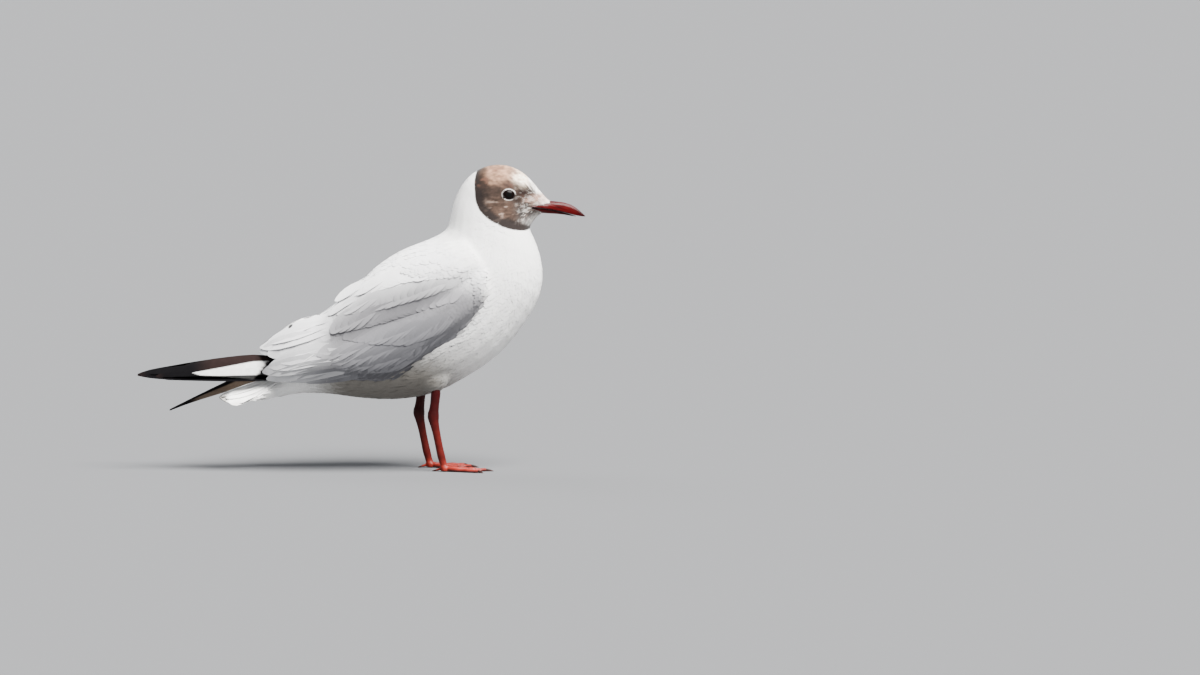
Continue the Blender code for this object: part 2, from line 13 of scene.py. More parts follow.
import bpy
import numpy as np
from bpy.props import FloatProperty, FloatVectorProperty, IntProperty, PointerProperty
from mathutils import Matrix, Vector
from mathutils.bvhtree import BVHTree
from mathutils.kdtree import KDTree


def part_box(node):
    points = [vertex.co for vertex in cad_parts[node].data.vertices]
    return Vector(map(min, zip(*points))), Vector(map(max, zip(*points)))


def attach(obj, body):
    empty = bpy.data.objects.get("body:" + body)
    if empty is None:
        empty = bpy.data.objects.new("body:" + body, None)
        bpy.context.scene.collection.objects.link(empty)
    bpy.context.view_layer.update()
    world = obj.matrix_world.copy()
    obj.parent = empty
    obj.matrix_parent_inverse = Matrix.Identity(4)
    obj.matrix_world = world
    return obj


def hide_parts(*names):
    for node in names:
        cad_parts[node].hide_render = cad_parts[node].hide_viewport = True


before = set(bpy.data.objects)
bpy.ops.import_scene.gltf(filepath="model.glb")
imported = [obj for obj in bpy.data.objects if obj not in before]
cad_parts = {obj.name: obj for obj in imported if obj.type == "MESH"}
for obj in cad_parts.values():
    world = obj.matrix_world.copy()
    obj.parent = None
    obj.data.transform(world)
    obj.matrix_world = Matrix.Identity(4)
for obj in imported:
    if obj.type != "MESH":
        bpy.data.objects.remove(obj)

bl_info = {
    "name": "Black-headed gull",
    "version": (1, 0, 0),
    "blender": (4, 5, 0),
    "location": "View3D > Sidebar > Gull",
    "description": "Builds the skin, plumage, bill, eyes and legs of a standing gull",
    "category": "Object",
}

MM = 0.001
BODY = "root"
FLESH = ("head", "neck", "breast", "abdomen", "rump")
PANELS = ("scapulars", "coverts", "tertials", "secondaries")
SIDES = {"left": 1, "right": -1}
GROWTH = 0.6 * MM  # closes the thin cuts between solids before they become one form
EYE_LOW, EYE_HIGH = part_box("eye_left")
EYE_CENTRE = (EYE_LOW + EYE_HIGH) / 2
EYE_OPENING = (4.9 * MM, 4.05 * MM)  # half length and half height between the lids
EYE_TILT = math.radians(-8)
EYE_BALL = (5.9 * MM, 5.0 * MM, 3.2 * MM)  # half length, half height and half depth
EYE_SINK = 1.8 * MM  # the ball's middle under the plane of the lids
EYE_SIDE = 8 * MM  # this far from the bird's middle plane, a place belongs to one eye


def srgb(red, green, blue):
    """A colour from display values of 0 to 255, as the linear numbers that a shader takes."""
    share = np.array([red, green, blue], float) / 255
    return tuple(np.where(share <= 0.04045, share / 12.92, ((share + 0.055) / 1.055) ** 2.4))


# ---------------------------------------------------------------- settings


def colour_setting(name, description, *display):
    return FloatVectorProperty(
        name=name,
        description=description,
        subtype="COLOR",
        size=3,
        min=0.0,
        max=1.0,
        default=srgb(*display),
    )


def number_setting(name, description, default, low, high, **kind):
    return FloatProperty(
        name=name, description=description, default=default, min=low, max=high, **kind
    )


class GullPlumage(bpy.types.PropertyGroup):
    white: colour_setting("White", "Neck, breast and tail", 250, 249, 247)
    # The belly colour is the white underside with painted shade in it: its grey stands in for the
    # shadow under the bird.
    belly: colour_setting("Belly", "Underside, duller than the breast", 131, 127, 120)
    # The mantle's near white is partly painted light from above, and the lower wing's dark grey partly
    # painted shade; the rest is the wing's own grey.
    mantle: colour_setting("Mantle", "Palest grey, on the back", 248, 248, 249)
    wing: colour_setting("Wing", "Grey of the scapulars and coverts", 125, 124, 127)
    wing_low: colour_setting("Lower wing", "Grey of the lowest coverts", 105, 105, 109)
    tertial: colour_setting("Tertials", "Pale grey at the rear of the wing", 204, 204, 206)
    quill: colour_setting("Quill black", "Primary tips", 15, 14, 16)
    quill_brown: colour_setting("Quill brown", "Worn upper edge of the primaries", 38, 28, 27)
    under_quill: colour_setting("Under quill", "Inner face of the primaries", 122, 106, 92)
    feather_scale: number_setting(
        "Feather scale", "Length and width of all body feathers", 1.0, 0.5, 2.0, subtype="FACTOR"
    )
    seed: IntProperty(name="Seed", description="Changes every random choice", default=11, min=0)


class GullBareParts(bpy.types.PropertyGroup):
    bill: colour_setting("Bill", "Red of the bill", 62, 5, 6)
    # The tip's darker red; it also paints shade along the gap between the bill's halves and in the
    # nostril slit.
    bill_dark: colour_setting("Bill tip", "Darker tip and cutting edge", 22, 2, 3)
    shank: colour_setting("Upper leg", "Red of the leg under the belly", 50, 4, 5)
    toe: colour_setting("Toes", "Brighter red of the toes", 126, 38, 29)
    web: colour_setting("Webs", "Dusky pink of the webs", 98, 52, 50)
    eye: colour_setting("Eye", "Dark brown iris", 12, 7, 6)
    voxel: number_setting(
        "Leg detail", "Size of the cells that the legs are rebuilt from",
        0.55 * MM, 0.2 * MM, 1.0 * MM, unit="LENGTH", precision=5,
    )  # fmt: skip


class GullStage(bpy.types.PropertyGroup):
    distance: number_setting(
        "Camera distance", "From the aim to the camera", 6.0, 1.0, 20.0, unit="LENGTH"
    )
    rise: number_setting(
        "Camera rise", "Angle above the horizon",
        math.radians(4), 0.0, math.radians(80), subtype="ANGLE",
    )  # fmt: skip
    width: number_setting(
        "View width", "Width of the view at the bird", 1.008, 0.3, 5.0, unit="LENGTH"
    )
    floor: colour_setting("Floor", "Pale floor", 96, 97, 99)


# ---------------------------------------------------------------- lie of the coat

# How the coat lies round a place on the bird: the way feathers point, seen from the side, then
# their length, width and spacing, mm.
Lie = namedtuple("Lie", "name x z aim_x aim_z length width spacing")
LIES = (
    Lie("bill_top", 155, 226, -1.0, 0.9, 2.0, 0.62, 0.56),
    Lie("forehead", 145, 240, -0.8, 1.0, 2.9, 0.7, 0.62),
    Lie("crown", 108, 257, -1.0, 0.0, 4.4, 0.85, 0.72),
    Lie("hindcrown", 92, 247, -0.8, -0.8, 4.8, 1.0, 0.8),
    Lie("nape", 78, 228, -0.35, -1.0, 7.5, 1.6, 1.25),
    Lie("hindneck", 73, 205, -0.3, -1.0, 10.0, 2.2, 1.55),
    Lie("lore", 140, 226, -1.0, 0.1, 2.1, 0.6, 0.54),
    Lie("eye", 124, 232, -1.0, -0.05, 2.1, 0.58, 0.5),
    Lie("ear", 105, 228, -0.9, -0.45, 4.6, 0.8, 0.72),
    Lie("chin", 149, 214, -0.8, -0.6, 2.6, 0.7, 0.6),
    Lie("throat", 141, 203, -0.35, -1.0, 4.4, 1.1, 0.85),
    Lie("foreneck", 146, 188, -0.05, -1.0, 9.0, 2.1, 1.5),
    Lie("side_neck", 110, 200, -0.45, -1.0, 8.5, 2.1, 1.5),
    Lie("breast_top", 150, 160, -0.15, -1.0, 12.0, 2.7, 1.85),
    Lie("breast", 148, 135, -0.45, -1.0, 13.5, 2.8, 1.95),
    Lie("lower_breast", 128, 105, -0.8, -0.75, 14.0, 2.8, 1.95),
    Lie("belly", 90, 78, -1.0, -0.35, 15.0, 2.9, 2.0),
    Lie("vent", 40, 60, -1.0, -0.03, 17.0, 3.2, 2.2),
    Lie("undertail", -40, 64, -1.0, -0.02, 22.0, 5.0, 3.0),
    Lie("mantle", 60, 195, -0.8, -0.75, 14.0, 5.0, 2.8),
    Lie("back", 10, 168, -0.85, -0.55, 16.0, 6.0, 3.2),
    Lie("rump", -45, 110, -1.0, -0.45, 16.0, 5.0, 3.0),
    Lie("wing_shoulder", 95, 160, -1.0, -0.45, 10.0, 3.2, 2.1),
    Lie("wing_mid", 40, 125, -1.0, -0.45, 15.0, 6.0, 3.4),
    Lie("wing_low", 20, 95, -1.0, -0.35, 14.0, 5.0, 3.4),
    Lie("wing_rear", -50, 100, -1.0, -0.35, 20.0, 8.0, 5.0),
    Lie("flank", 75, 100, -0.9, -0.6, 12.5, 2.4, 1.7),
    Lie("tail", -100, 68, -1.0, -0.12, 18.0, 5.5, 3.6),
)
BILL_ROOT = np.array([155.0, 0.0, 220.0]) * MM
FACE_REACH = 15 * MM  # how far the feathers fan out round the bill
COAT_DEPTH = 0.045  # of a feather's length


def coat_near(points):
    """The Lie table's numbers at each point, from the places nearest to it."""
    table = np.array([lie[1:] for lie in LIES])
    gap = (points[:, None, ::2] / MM - table[None, :, :2]) ** 2
    weight = 1 / (gap.sum(axis=2) + 20) ** 2
    return weight @ table[:, 2:] / weight.sum(axis=1, keepdims=True)


def coat_aim(points):
    """The way feathers point at each point, before they are laid on the surface."""
    aim = np.zeros_like(points)
    aim[:, ::2] = coat_near(points)[:, :2]
    aim /= np.linalg.norm(aim, axis=1, keepdims=True)
    away = points - BILL_ROOT
    reach = np.linalg.norm(away, axis=1, keepdims=True)
    fan = np.exp(-((reach / FACE_REACH) ** 2))
    return aim + fan * 1.5 * away / np.maximum(reach, 1e-6)


def unit(vectors):
    return vectors / np.maximum(np.linalg.norm(vectors, axis=-1, keepdims=True), 1e-9)


def on_surface(vectors, normals):
    """Vectors turned to lie in the surface."""
    return unit(vectors - normals * np.sum(vectors * normals, axis=-1, keepdims=True))


def smooth_step(value, low, high):
    """A smooth step up, from 0 at low to 1 at high."""
    share = np.clip((value - low) / (high - low), 0, 1)
    return share * share * (3 - 2 * share)


def falling(value, low, high):
    """A smooth step down, from 1 at low to 0 at high."""
    return smooth_step(-value, -high, -low)


def side_view(points):
    """x and z of points, in mm."""
    return points[:, 0] / MM, points[:, 2] / MM


def turned(x, z, angle):
    """x and z along axes that are turned by an angle in the side view."""
    return x * math.cos(angle) + z * math.sin(angle), z * math.cos(angle) - x * math.sin(angle)


def patches(points, size, seed):
    """Soft random patches from -1 to 1, of the given size in mm."""
    cells = points / (np.asarray(size) * MM)
    corner_at = np.floor(cells).astype(np.int64)
    part = cells - corner_at
    part = part * part * (3 - 2 * part)
    total = np.zeros(len(points))
    for corner in itertools.product((0, 1), repeat=3):
        key = corner_at + corner
        code = key[:, 0] * 73856093 ^ key[:, 1] * 19349663 ^ key[:, 2] * 83492791
        code = (code ^ seed * 2654435761) & 0xFFFFFFFF
        code = (code ^ (code >> 15)) * 2246822519 & 0xFFFFFFFF
        value = ((code ^ (code >> 13)) & 0xFFFF) / 32767.5 - 1
        total += value * np.prod(np.where(corner, part, 1 - part), axis=1)
    return total


# ---------------------------------------------------------------- markings

# In the functions of this section, x and z are places in the side view in mm, and so are the
# numbers that their steps run between.

# Soft dabs of colour on the head, each an ellipse seen from the side: its middle, its half
# length and half height in mm, its turn in degrees, its display colour and its strength.
Dab = namedtuple("Dab", "name x z length height turn colour strength")
DABS = (
    Dab("crown", 117, 249.5, 15, 6, 0, (160, 124, 100), 1.4),
    Dab("forecrown", 134, 245.5, 8, 5, -38, (247, 228, 205), 1.2),
    Dab("hindcrown", 101.5, 247, 5.5, 7.5, 0, (33, 23, 18), 2.8),
    Dab("rear", 100, 230, 6.5, 8, 0, (34, 26, 22), 1.6),
    Dab("ear_band", 113, 235, 9, 3.0, 0, (45, 34, 28), 1.1),
    Dab("brow", 125, 242, 9, 3.5, -14, (62, 46, 39), 1.1),
    Dab("fore_eye", 138.5, 235, 6, 4.6, -40, (30, 17, 12), 2.8),
    Dab("under_eye", 131.5, 229, 4.0, 3.6, 0, (43, 33, 28), 1.0),
    Dab("cheek", 117, 221.5, 11, 6.5, -20, (69, 53, 44), 1.4),
    Dab("cheek_rear", 107, 214.5, 8, 5, -38, (26, 18, 16), 1.3),
    Dab("lower_rim", 126, 206, 11, 4.2, -12, (28, 22, 19), 1.4),
    Dab("lore", 148, 228, 8, 4, -10, (172, 138, 122), 1.4),
    Dab("malar", 140, 217.5, 8, 6, -10, (63, 58, 56), 1.4),
    Dab("chin", 147, 211, 7, 5, 0, (186, 183, 179), 1.5),
    Dab("forehead", 146, 240, 7, 4, -50, (252, 248, 242), 1.4),
    Dab("bill_edge", 154, 222, 5, 6, 0, (240, 234, 228), 1.4),
)
GAPE = (141.5, 221.6)  # the corner of the mouth
HOOD_CENTRE = (125.0, 237.0)
# The hood's border round that centre: degrees up from the bill's side, and mm out.
HOOD_BORDER = (
    (0, 60), (60, 60), (100, 40), (140, 33), (153, 31.6), (168, 30.5), (184, 29.6),
    (200, 30.5), (215, 31.1), (233, 30.9), (250, 31.1), (265, 32.7), (278, 34.9),
    (291, 37.6), (300, 38), (315, 60), (360, 60),
)  # fmt: skip
RIM_WIDTH = ((100, 2), (150, 3), (185, 5.5), (220, 8), (265, 6.5), (292, 6), (300, 0), (360, 0))


def hood_shares(points):
    """How far inside the hood's border each point is, mm, and how much of the rim's dark."""
    x, z = points[:, 0] / MM - HOOD_CENTRE[0], points[:, 2] / MM - HOOD_CENTRE[1]
    turn = np.degrees(np.arctan2(z, x)) % 360
    inside = np.interp(turn, *zip(*HOOD_BORDER)) - np.hypot(x, z)
    rim = np.interp(turn, *zip(*RIM_WIDTH))
    return inside, smooth_step(rim - inside, -1.5, 2.0) * (rim > 0)


def eye_reach(points):
    """Distance from the eye's middle by its opening's ellipse, 1 at the lids, and the turn there."""
    along, up = turned(points[:, 0] - EYE_CENTRE.x, points[:, 2] - EYE_CENTRE.z, EYE_TILT)
    return np.hypot(along / EYE_OPENING[0], up / EYE_OPENING[1]), np.arctan2(up, along)


def on_bill(points, margin=0.0):
    """Whether points lie on the bare bill, in front of the wedge of the face's feather edge."""
    x, z = side_view(points)
    upper = np.interp(x, (GAPE[0], 150.0, 158.3, 158.4), (GAPE[1], 223.0, 225.3, 300.0))
    lower = np.interp(x, (GAPE[0], 150.8, 152.0, 152.1), (GAPE[1], 216.7, 212.0, -100.0))
    return (x > GAPE[0]) & (z < upper - margin) & (z > lower + margin)


def streaks(points, seed):
    """Soft streaks from -1 to 1 that fan back over the face, as its feathers lie."""
    x, z = points[:, 0] / MM - 152, points[:, 2] / MM - 224
    turn, away = np.arctan2(z, -x), np.hypot(x, z)
    fan = np.stack([turn * 24, away * 0.3, points[:, 1] / MM * 0.12], 1) * MM
    return patches(fan, 1.3, seed)


def mixed(first, second, share):
    share = np.asarray(share)[:, None]
    return np.asarray(first) * (1 - share) + np.asarray(second) * share


def wing_top(x):
    """Height of the folded wing's upper edge, mm."""
    return np.interp(x, (-90, -27, 7, 50, 106), (100, 139, 163, 178, 171))


WING_LOW = (
    (-90, 98), (-70, 78), (-30, 77), (10, 76), (30, 77.5), (42, 81), (50, 86), (54, 92),
    (66, 100.5), (84, 110), (93, 121), (101, 131), (106, 141), (108, 150),
)  # fmt: skip


def fold_edge(x):
    """Height of the scapulars' lower border, where the feathers under it lie in shade, mm."""
    return np.interp(x, (-30, 0, 32, 64, 98), (115, 123, 133, 140, 148))


def wing_grey(points, plumage):
    """The wing's grey: palest above and behind, darkest low down and just under the fold; partly its
    own grey, partly painted light above and painted shade below, with a painted shadow under the fold.
    """
    x, z = side_view(points)
    drop = wing_top(x) - z
    # Palest at the top: partly the mantle's own pale grey, partly painted light from above.
    early = np.interp(x, (-14, 10, 40, 55, 80), (10, 6, 1, 1, 6))
    colour = mixed(plumage.mantle, plumage.wing, smooth_step(drop + early, 3, 33))
    # Lower down the grey darkens, partly the wing's own grey and partly painted shade.
    colour = mixed(colour, plumage.wing_low, smooth_step(drop, 24, 66) * smooth_step(x, -50, 5))
    colour = mixed(colour, plumage.tertial, falling(x, -50, -18))
    # Painted shade along the lower edge of the secondaries.
    low = falling(z, 80, 99) * smooth_step(x, -64, -16) * 0.85
    colour = mixed(colour, plumage.wing_low, low)
    # Painted shadow just under the scapulars' lower border.
    under = fold_edge(x) - z
    shade = smooth_step(under, -0.6, 0.6) * falling(under, 1, 9) * smooth_step(x, -30, -5)
    colour = colour * (1 - 0.16 * shade * falling(x, 80, 101))[:, None]
    return mixed(colour, plumage.white, smooth_step(x, 99, 111))


def body_colour(points, plumage):
    """White neck, breast and underside, with painted shade on the belly, low down and over the thigh,
    and the grey mantle between the wings.
    """
    x, z = side_view(points)
    # Painted shade: the underside, and a patch over the thigh, darken towards the belly colour.
    belly_shade = falling(z, 80, 122) * falling(x, 50, 114) * smooth_step(x, -52, -12)
    belly_shade = np.maximum(belly_shade, np.exp(-(((x - 62) / 15) ** 2) - ((z - 76) / 13) ** 2))
    colour = mixed(plumage.white, plumage.belly, belly_shade)
    # Painted shadow along the lowest belly, and painted shade over the thigh where the light falls
    # strongly.
    shade = falling(z, 62, 82) * falling(x, 50, 90) * smooth_step(x, -40, -5)
    thigh_shade = np.exp(-(((x - 71) / 9) ** 2) - ((z - 79) / 9) ** 2)
    colour = colour * (1 - 0.34 * shade - 0.3 * thigh_shade)[:, None]
    above = smooth_step(z - (88 + (x + 80) * 0.38), -3, 5)
    front = 44 * (z - 206) + 41 * (x - 62)
    grey = above * smooth_step(-front / 60, -2, 12) * smooth_step(x, -58, -40)
    shoulder = smooth_step(z - np.interp(x, *zip(*WING_LOW)), 3.5, 9) * smooth_step(x, 78, 86)
    shoulder *= smooth_step(wing_top(x) - z, -3, 3)
    grey = np.maximum(grey, shoulder)
    return mixed(colour, wing_grey(points, plumage), grey)


def head_colour(points, plumage, seed):
    """The hood: a dark rim, tan cheeks and a pale crown, breaking up towards the bill."""
    x, z = side_view(points)
    total = np.zeros((len(points), 3))
    weights = np.zeros(len(points))
    fan, coarse = streaks(points, seed), patches(points, (7, 9, 5), seed + 1)
    fine = patches(points, (1.9, 3, 1.3), seed + 3)
    for dab in DABS:
        along, up = turned(x - dab.x, z - dab.z, math.radians(dab.turn))
        along, up = along + coarse * 1.2, up + fan * 1.5
        weight = dab.strength * np.exp(-((along / dab.length) ** 2 + (up / dab.height) ** 2) * 1.6)
        total += weight[:, None] * np.array(srgb(*dab.colour))
        weights += weight
    base = 0.02
    found = (total + base * np.array(srgb(78, 62, 55))) / (weights + base)[:, None]
    inside, rim = hood_shares(points)
    found *= (1 + 0.4 * fan + 0.24 * coarse + 0.34 * fine)[:, None]
    light = smooth_step(streaks(points, seed + 5), 0.25, 0.8) * smooth_step(x, 98, 108)
    light *= falling(z, 224, 232) * smooth_step(z, 206, 212) * 0.5
    found = mixed(found, srgb(176, 152, 138), light)
    found = mixed(found, srgb(29, 22, 20), rim * 0.88 * (1 + 0.12 * fan))
    dark = smooth_step(patches(points, (3.4, 6, 2.4), seed + 8), 0.15, 0.75)
    dark *= smooth_step(z, 236, 243) * falling(x, 132, 144) * 0.6
    found = mixed(found, srgb(92, 62, 50), dark)
    reach, turn = eye_reach(points)
    ring = smooth_step(reach, 0.9, 1.0) * falling(reach, 1.15, 1.27)
    ring *= np.clip(1.2 - 1.6 * np.exp(-(((turn + 0.25) / 0.6) ** 2)), 0, 1)
    found = mixed(found, srgb(226, 221, 215), ring)
    return mixed(body_colour(points, plumage), np.clip(found, 0, 0.92), smooth_step(inside, -0.2, 0.4))


def coat_colour(points, plumage, seed=0):
    """The markings of skin and feathers. The seed changes the hood's mottle alone."""
    head = (points[:, 0] > 88 * MM) & (points[:, 2] > 198 * MM)
    colour = body_colour(points, plumage)
    colour[head] = head_colour(points[head], plumage, seed)
    return colour


# ---------------------------------------------------------------- making meshes


def deselect():
    for thing in bpy.context.selected_objects:
        thing.select_set(False)


def select(*things):
    deselect()
    for thing in things:
        thing.select_set(True)
    bpy.context.view_layer.objects.active = things[0]


@contextmanager
def editing(thing):
    """Edit mode on one object, with all of it selected."""
    select(thing)
    bpy.ops.object.mode_set(mode="EDIT")
    bpy.ops.mesh.select_all(action="SELECT")
    yield
    bpy.ops.object.mode_set(mode="OBJECT")


def faced_out(thing):
    """Turns the faces outwards and shades them smooth."""
    with editing(thing):
        bpy.ops.mesh.normals_make_consistent(inside=False)
    bpy.ops.object.shade_smooth()


def apply_modifier(thing, kind, **settings):
    select(thing)
    step = thing.modifiers.new(kind.lower(), kind)
    for name, value in settings.items():
        setattr(step, name, value)
    bpy.ops.object.modifier_apply(modifier=step.name)


def copied_node(node):
    """A merged copy of a CAD node, as an object of its own."""
    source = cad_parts[node]
    copy = bpy.data.objects.new(f"{node}_copy", source.data.copy())
    copy.data.materials.clear()
    bpy.context.scene.collection.objects.link(copy)
    with editing(copy):
        bpy.ops.mesh.remove_doubles(threshold=1e-6)
    return copy


def drop_old(name):
    old = bpy.data.objects.get(name)
    if old:
        bpy.data.objects.remove(old, do_unlink=True)


def joined(name, things):
    select(*things)
    if len(things) > 1:
        bpy.ops.object.join()
    made = bpy.context.view_layer.objects.active
    drop_old(name)
    made.name = made.data.name = name
    return made


def melted(name, nodes, cell, rounds, growth=GROWTH):
    """Copies of CAD nodes melted into one smooth closed form."""
    form = joined(name, [copied_node(node) for node in nodes])
    apply_modifier(form, "DISPLACE", strength=growth, mid_level=0.0)
    apply_modifier(form, "REMESH", mode="VOXEL", voxel_size=cell, adaptivity=0.0)
    apply_modifier(form, "SMOOTH", factor=0.5, iterations=rounds)
    apply_modifier(form, "DISPLACE", strength=-growth, mid_level=0.0)
    keep_largest(form)
    bpy.ops.object.shade_smooth()
    return form


def keep_largest(form):
    """Removes what the melting leaves inside, such as the walls of a closed gap."""
    with editing(form):
        bpy.ops.mesh.separate(type="LOOSE")
    bits = list(bpy.context.selected_objects)
    largest = max(bits, key=lambda bit: len(bit.data.vertices))
    data, name = largest.data, form.name
    for bit in bits:
        if bit is not largest and bit is not form:
            bpy.data.objects.remove(bit, do_unlink=True)
    if largest is not form:
        form.data = data
        bpy.data.objects.remove(largest, do_unlink=True)
    form.name = name
    select(form)


def read_rows(items, name, width, kind=np.float32):
    """One attribute of all items, as rows of that width."""
    flat = np.empty(len(items) * width, kind)
    items.foreach_get(name, flat)
    return flat.reshape(-1, width)


def vertex_points(mesh):
    return read_rows(mesh.vertices, "co", 3).astype(float)


def vertex_normals(mesh):
    return read_rows(mesh.vertex_normals, "vector", 3).astype(float)


def move_points(mesh, points):
    mesh.vertices.foreach_set("co", points.astype(np.float32).ravel())
    mesh.update()


OUTSIDE = 0.2  # this far from the middle, a ray starts outside the bird
FLANK = 0.03  # about how far the flanks lie from the middle
STEEPEST = 0.35  # slope of a feather that is carried on past the surface


class Surface:
    """A closed form that feathers are laid on."""

    def __init__(self, form):
        mesh = form.data
        mesh.calc_loop_triangles()
        self.points, self.normals = vertex_points(mesh), vertex_normals(mesh)
        self.corners = read_rows(mesh.loop_triangles, "vertices", 3, np.int32)
        loops = read_rows(mesh.loop_triangles, "loops", 3, np.int32)
        self.bake = np.zeros((len(loops), 3, 2))
        if mesh.uv_layers:
            self.bake = read_rows(mesh.uv_layers[0].data, "uv", 2)[loops]
        self.tree = BVHTree.FromPolygons(self.points.tolist(), self.corners.tolist())

    def at(self, places, index):
        """Smooth normals and bake places at points of the triangles with those numbers."""
        corner = self.points[self.corners[index]]
        first, second = corner[:, 1] - corner[:, 0], corner[:, 2] - corner[:, 0]
        rest = places - corner[:, 0]
        d00, d01 = np.sum(first * first, 1), np.sum(first * second, 1)
        d11 = np.sum(second * second, 1)
        d20, d21 = np.sum(rest * first, 1), np.sum(rest * second, 1)
        size = np.maximum(d00 * d11 - d01 * d01, 1e-20)
        b, c = (d11 * d20 - d01 * d21) / size, (d00 * d21 - d01 * d20) / size
        weight = np.clip(np.stack([1 - b - c, b, c], 1), 0, 1)[:, :, None]
        normals = unit(np.sum(self.normals[self.corners[index]] * weight, 1))
        return normals, np.sum(self.bake[index] * weight, 1)

    def nearest(self, points):
        found = [self.tree.find_nearest(point) for point in points.tolist()]
        places = np.array([hit[0] for hit in found])
        return places, *self.at(places, np.array([hit[2] for hit in found]))

    def from_side(self, x, z, side):
        """Points of the surface as seen from one side, or the nearest where a line misses."""
        way = Vector((0, -side, 0))
        places = []
        for here, up in zip(x, z):
            hit = self.tree.ray_cast(Vector((here, side * OUTSIDE, up)), way)[0]
            places.append(hit or self.tree.find_nearest(Vector((here, side * FLANK, up)))[0])
        return self.nearest(np.array(places))

    def section(self, x, axis):
        """The lowest and highest places along an axis where the plane at each x cuts the form."""
        corner = self.points[self.corners]
        lows, highs = [], []
        for here in x:
            side, spots = corner[:, :, 0] - here, []
            for first, second in ((0, 1), (1, 2), (2, 0)):
                cut = side[:, first] * side[:, second] < 0
                share = side[cut, first] / (side[cut, first] - side[cut, second])
                way = corner[cut, second] - corner[cut, first]
                spots.append(corner[cut, first] + share[:, None] * way)
            spots = np.concatenate(spots)
            lows.append(spots[spots[:, axis].argmin()])
            highs.append(spots[spots[:, axis].argmax()])
        return np.array(lows), np.array(highs)

    def sheet(self, x, shares, axis, way):
        """Rows and columns of points on the two faces of a thin form, and their normals.

        Each row is a plane at x. Columns run up (axis 2) or across (axis 1), and way is the
        direction from the inner face to the outer one.
        """
        lows, highs = self.section(x, axis)
        flat = lows[:, None] + (highs - lows)[:, None] * shares[None, :, None]
        faces = []
        for turn in (1, -1):
            out = Vector(way) * turn
            face = flat.copy()
            for row, column in np.ndindex(*flat.shape[:2]):
                start = Vector(flat[row, column])
                hit = self.tree.ray_cast(start + out * 0.05, -out)[0]
                if hit and 0 < column < len(shares) - 1:
                    face[row, column] = hit
            up = np.broadcast_to(np.array(out), face.shape).copy()
            up[..., axis] += 0.35 * (2 * shares - 1)
            faces.append((face[:, None], unit(up)[:, None]))
        return faces

    def track(self, x, z, side):
        """Middle lines from rows of side-view points, carried straight on where they leave it."""
        way, lines, ups, bakes = Vector((0, -side, 0)), [], [], []
        off = np.zeros(x.shape[1], bool)
        for row in range(len(x)):
            places = []
            for number, (here, up) in enumerate(zip(x[row], z[row])):
                hit = self.tree.ray_cast(Vector((here, side * OUTSIDE, up)), way)[0]
                if row:
                    last = lines[-1][number]
                    step = math.hypot(here - last[0], up - last[2])
                    if off[number] or hit is None or abs(hit.y - last[1]) > step + 0.8 * MM:
                        off[number] = True
                        slope = 0.0
                        if row > 1:
                            slope = (last[1] - lines[-2][number][1]) / max(before[number], 1e-5)
                        slope = max(-STEEPEST, min(STEEPEST, slope))
                        hit = Vector((here, last[1] + slope * step, up))
                places.append(hit or self.tree.find_nearest(Vector((here, side * FLANK, up)))[0])
            places = np.array(places)
            if row:
                before = np.hypot(places[:, 0] - lines[-1][:, 0], places[:, 2] - lines[-1][:, 2])
            _, up, bake = self.nearest(places)
            if row:
                up = np.where(off[:, None], ups[-1], up)
            lines.append(places)
            ups.append(up)
            bakes.append(bake)
        return np.array(lines), np.array(ups), bakes[0]

    def scatter(self, keep, spacing, random):
        """Points spread evenly over the triangles that keep() accepts."""
        corner = self.points[self.corners]
        middle = corner.mean(axis=1)
        area = np.linalg.norm(
            np.cross(corner[:, 1] - corner[:, 0], corner[:, 2] - corner[:, 0]), axis=1
        ) / 2
        normal = unit(self.normals[self.corners].sum(axis=1))
        gap = spacing(middle)
        share = np.where(keep(middle, normal), area / gap**2, 0)
        count = int(share.sum() * 5)
        index = random.choice(len(share), count, p=share / share.sum())
        mix = random.random((count, 2))
        mix = np.where(mix.sum(axis=1, keepdims=True) > 1, 1 - mix, mix)
        places = (
            corner[index, 0]
            + mix[:, :1] * (corner[index, 1] - corner[index, 0])
            + mix[:, 1:] * (corner[index, 2] - corner[index, 0])
        )
        tree = KDTree(count)
        for number, place in enumerate(places.tolist()):
            tree.insert(place, number)
        tree.balance()
        alive, kept = np.ones(count, bool), []
        gaps = gap[index]
        for number in range(count):
            if alive[number]:
                kept.append(number)
                for _, other, _ in tree.find_range(places[number].tolist(), gaps[number]):
                    alive[other] = False
        normals, bake = self.at(places[kept], index[kept])
        return places[kept], normals, bake


# ---------------------------------------------------------------- vanes

# Rows of a vane from root to tip: share of the length, share of the width.
SMALL_VANE = ((0.0, 0.45), (0.35, 0.9), (0.72, 1.0), (0.93, 0.62), (1.0, 0.22))
BROAD_VANE = (
    (0.0, 0.35), (0.15, 0.62), (0.32, 0.85), (0.52, 0.98), (0.7, 0.97), (0.84, 0.8),
    (0.93, 0.54), (0.98, 0.28), (1.0, 0.08),
)  # fmt: skip
BAKE_PATCH = 0.003  # size of a vane's patch on the OFBake map


def column(rows, number=0):
    """One column of a table."""
    return np.array([row[number] for row in rows])


def spread(share, across, shape):
    """Shares along and places across, for every point of a grid of vanes."""
    return np.broadcast_to(share[:, None, None], shape), np.broadcast_to(across, shape)


def bake_spots(spot, shares, acrosses):
    """Each vane's patch of the OFBake map, round the place of its root."""
    return spot[None, :, None, :] + BAKE_PATCH * np.stack([acrosses * 0.5, shares - 0.5], -1)


def quads_over(grid):
    """The corners of every quad in a grid of rows x vanes x columns of point numbers."""
    corners = (grid[:-1, :, :-1], grid[1:, :, :-1], grid[1:, :, 1:], grid[:-1, :, 1:])
    return np.stack(corners, -1).reshape(-1, 4)


def single(line, normal):
    """One vane's middle line, normals and heading, as Vanes.lay takes them."""
    line, normal = line[:, None, :], normal[:, None, :]
    return line, normal, on_surface(np.gradient(line, axis=0), normal)


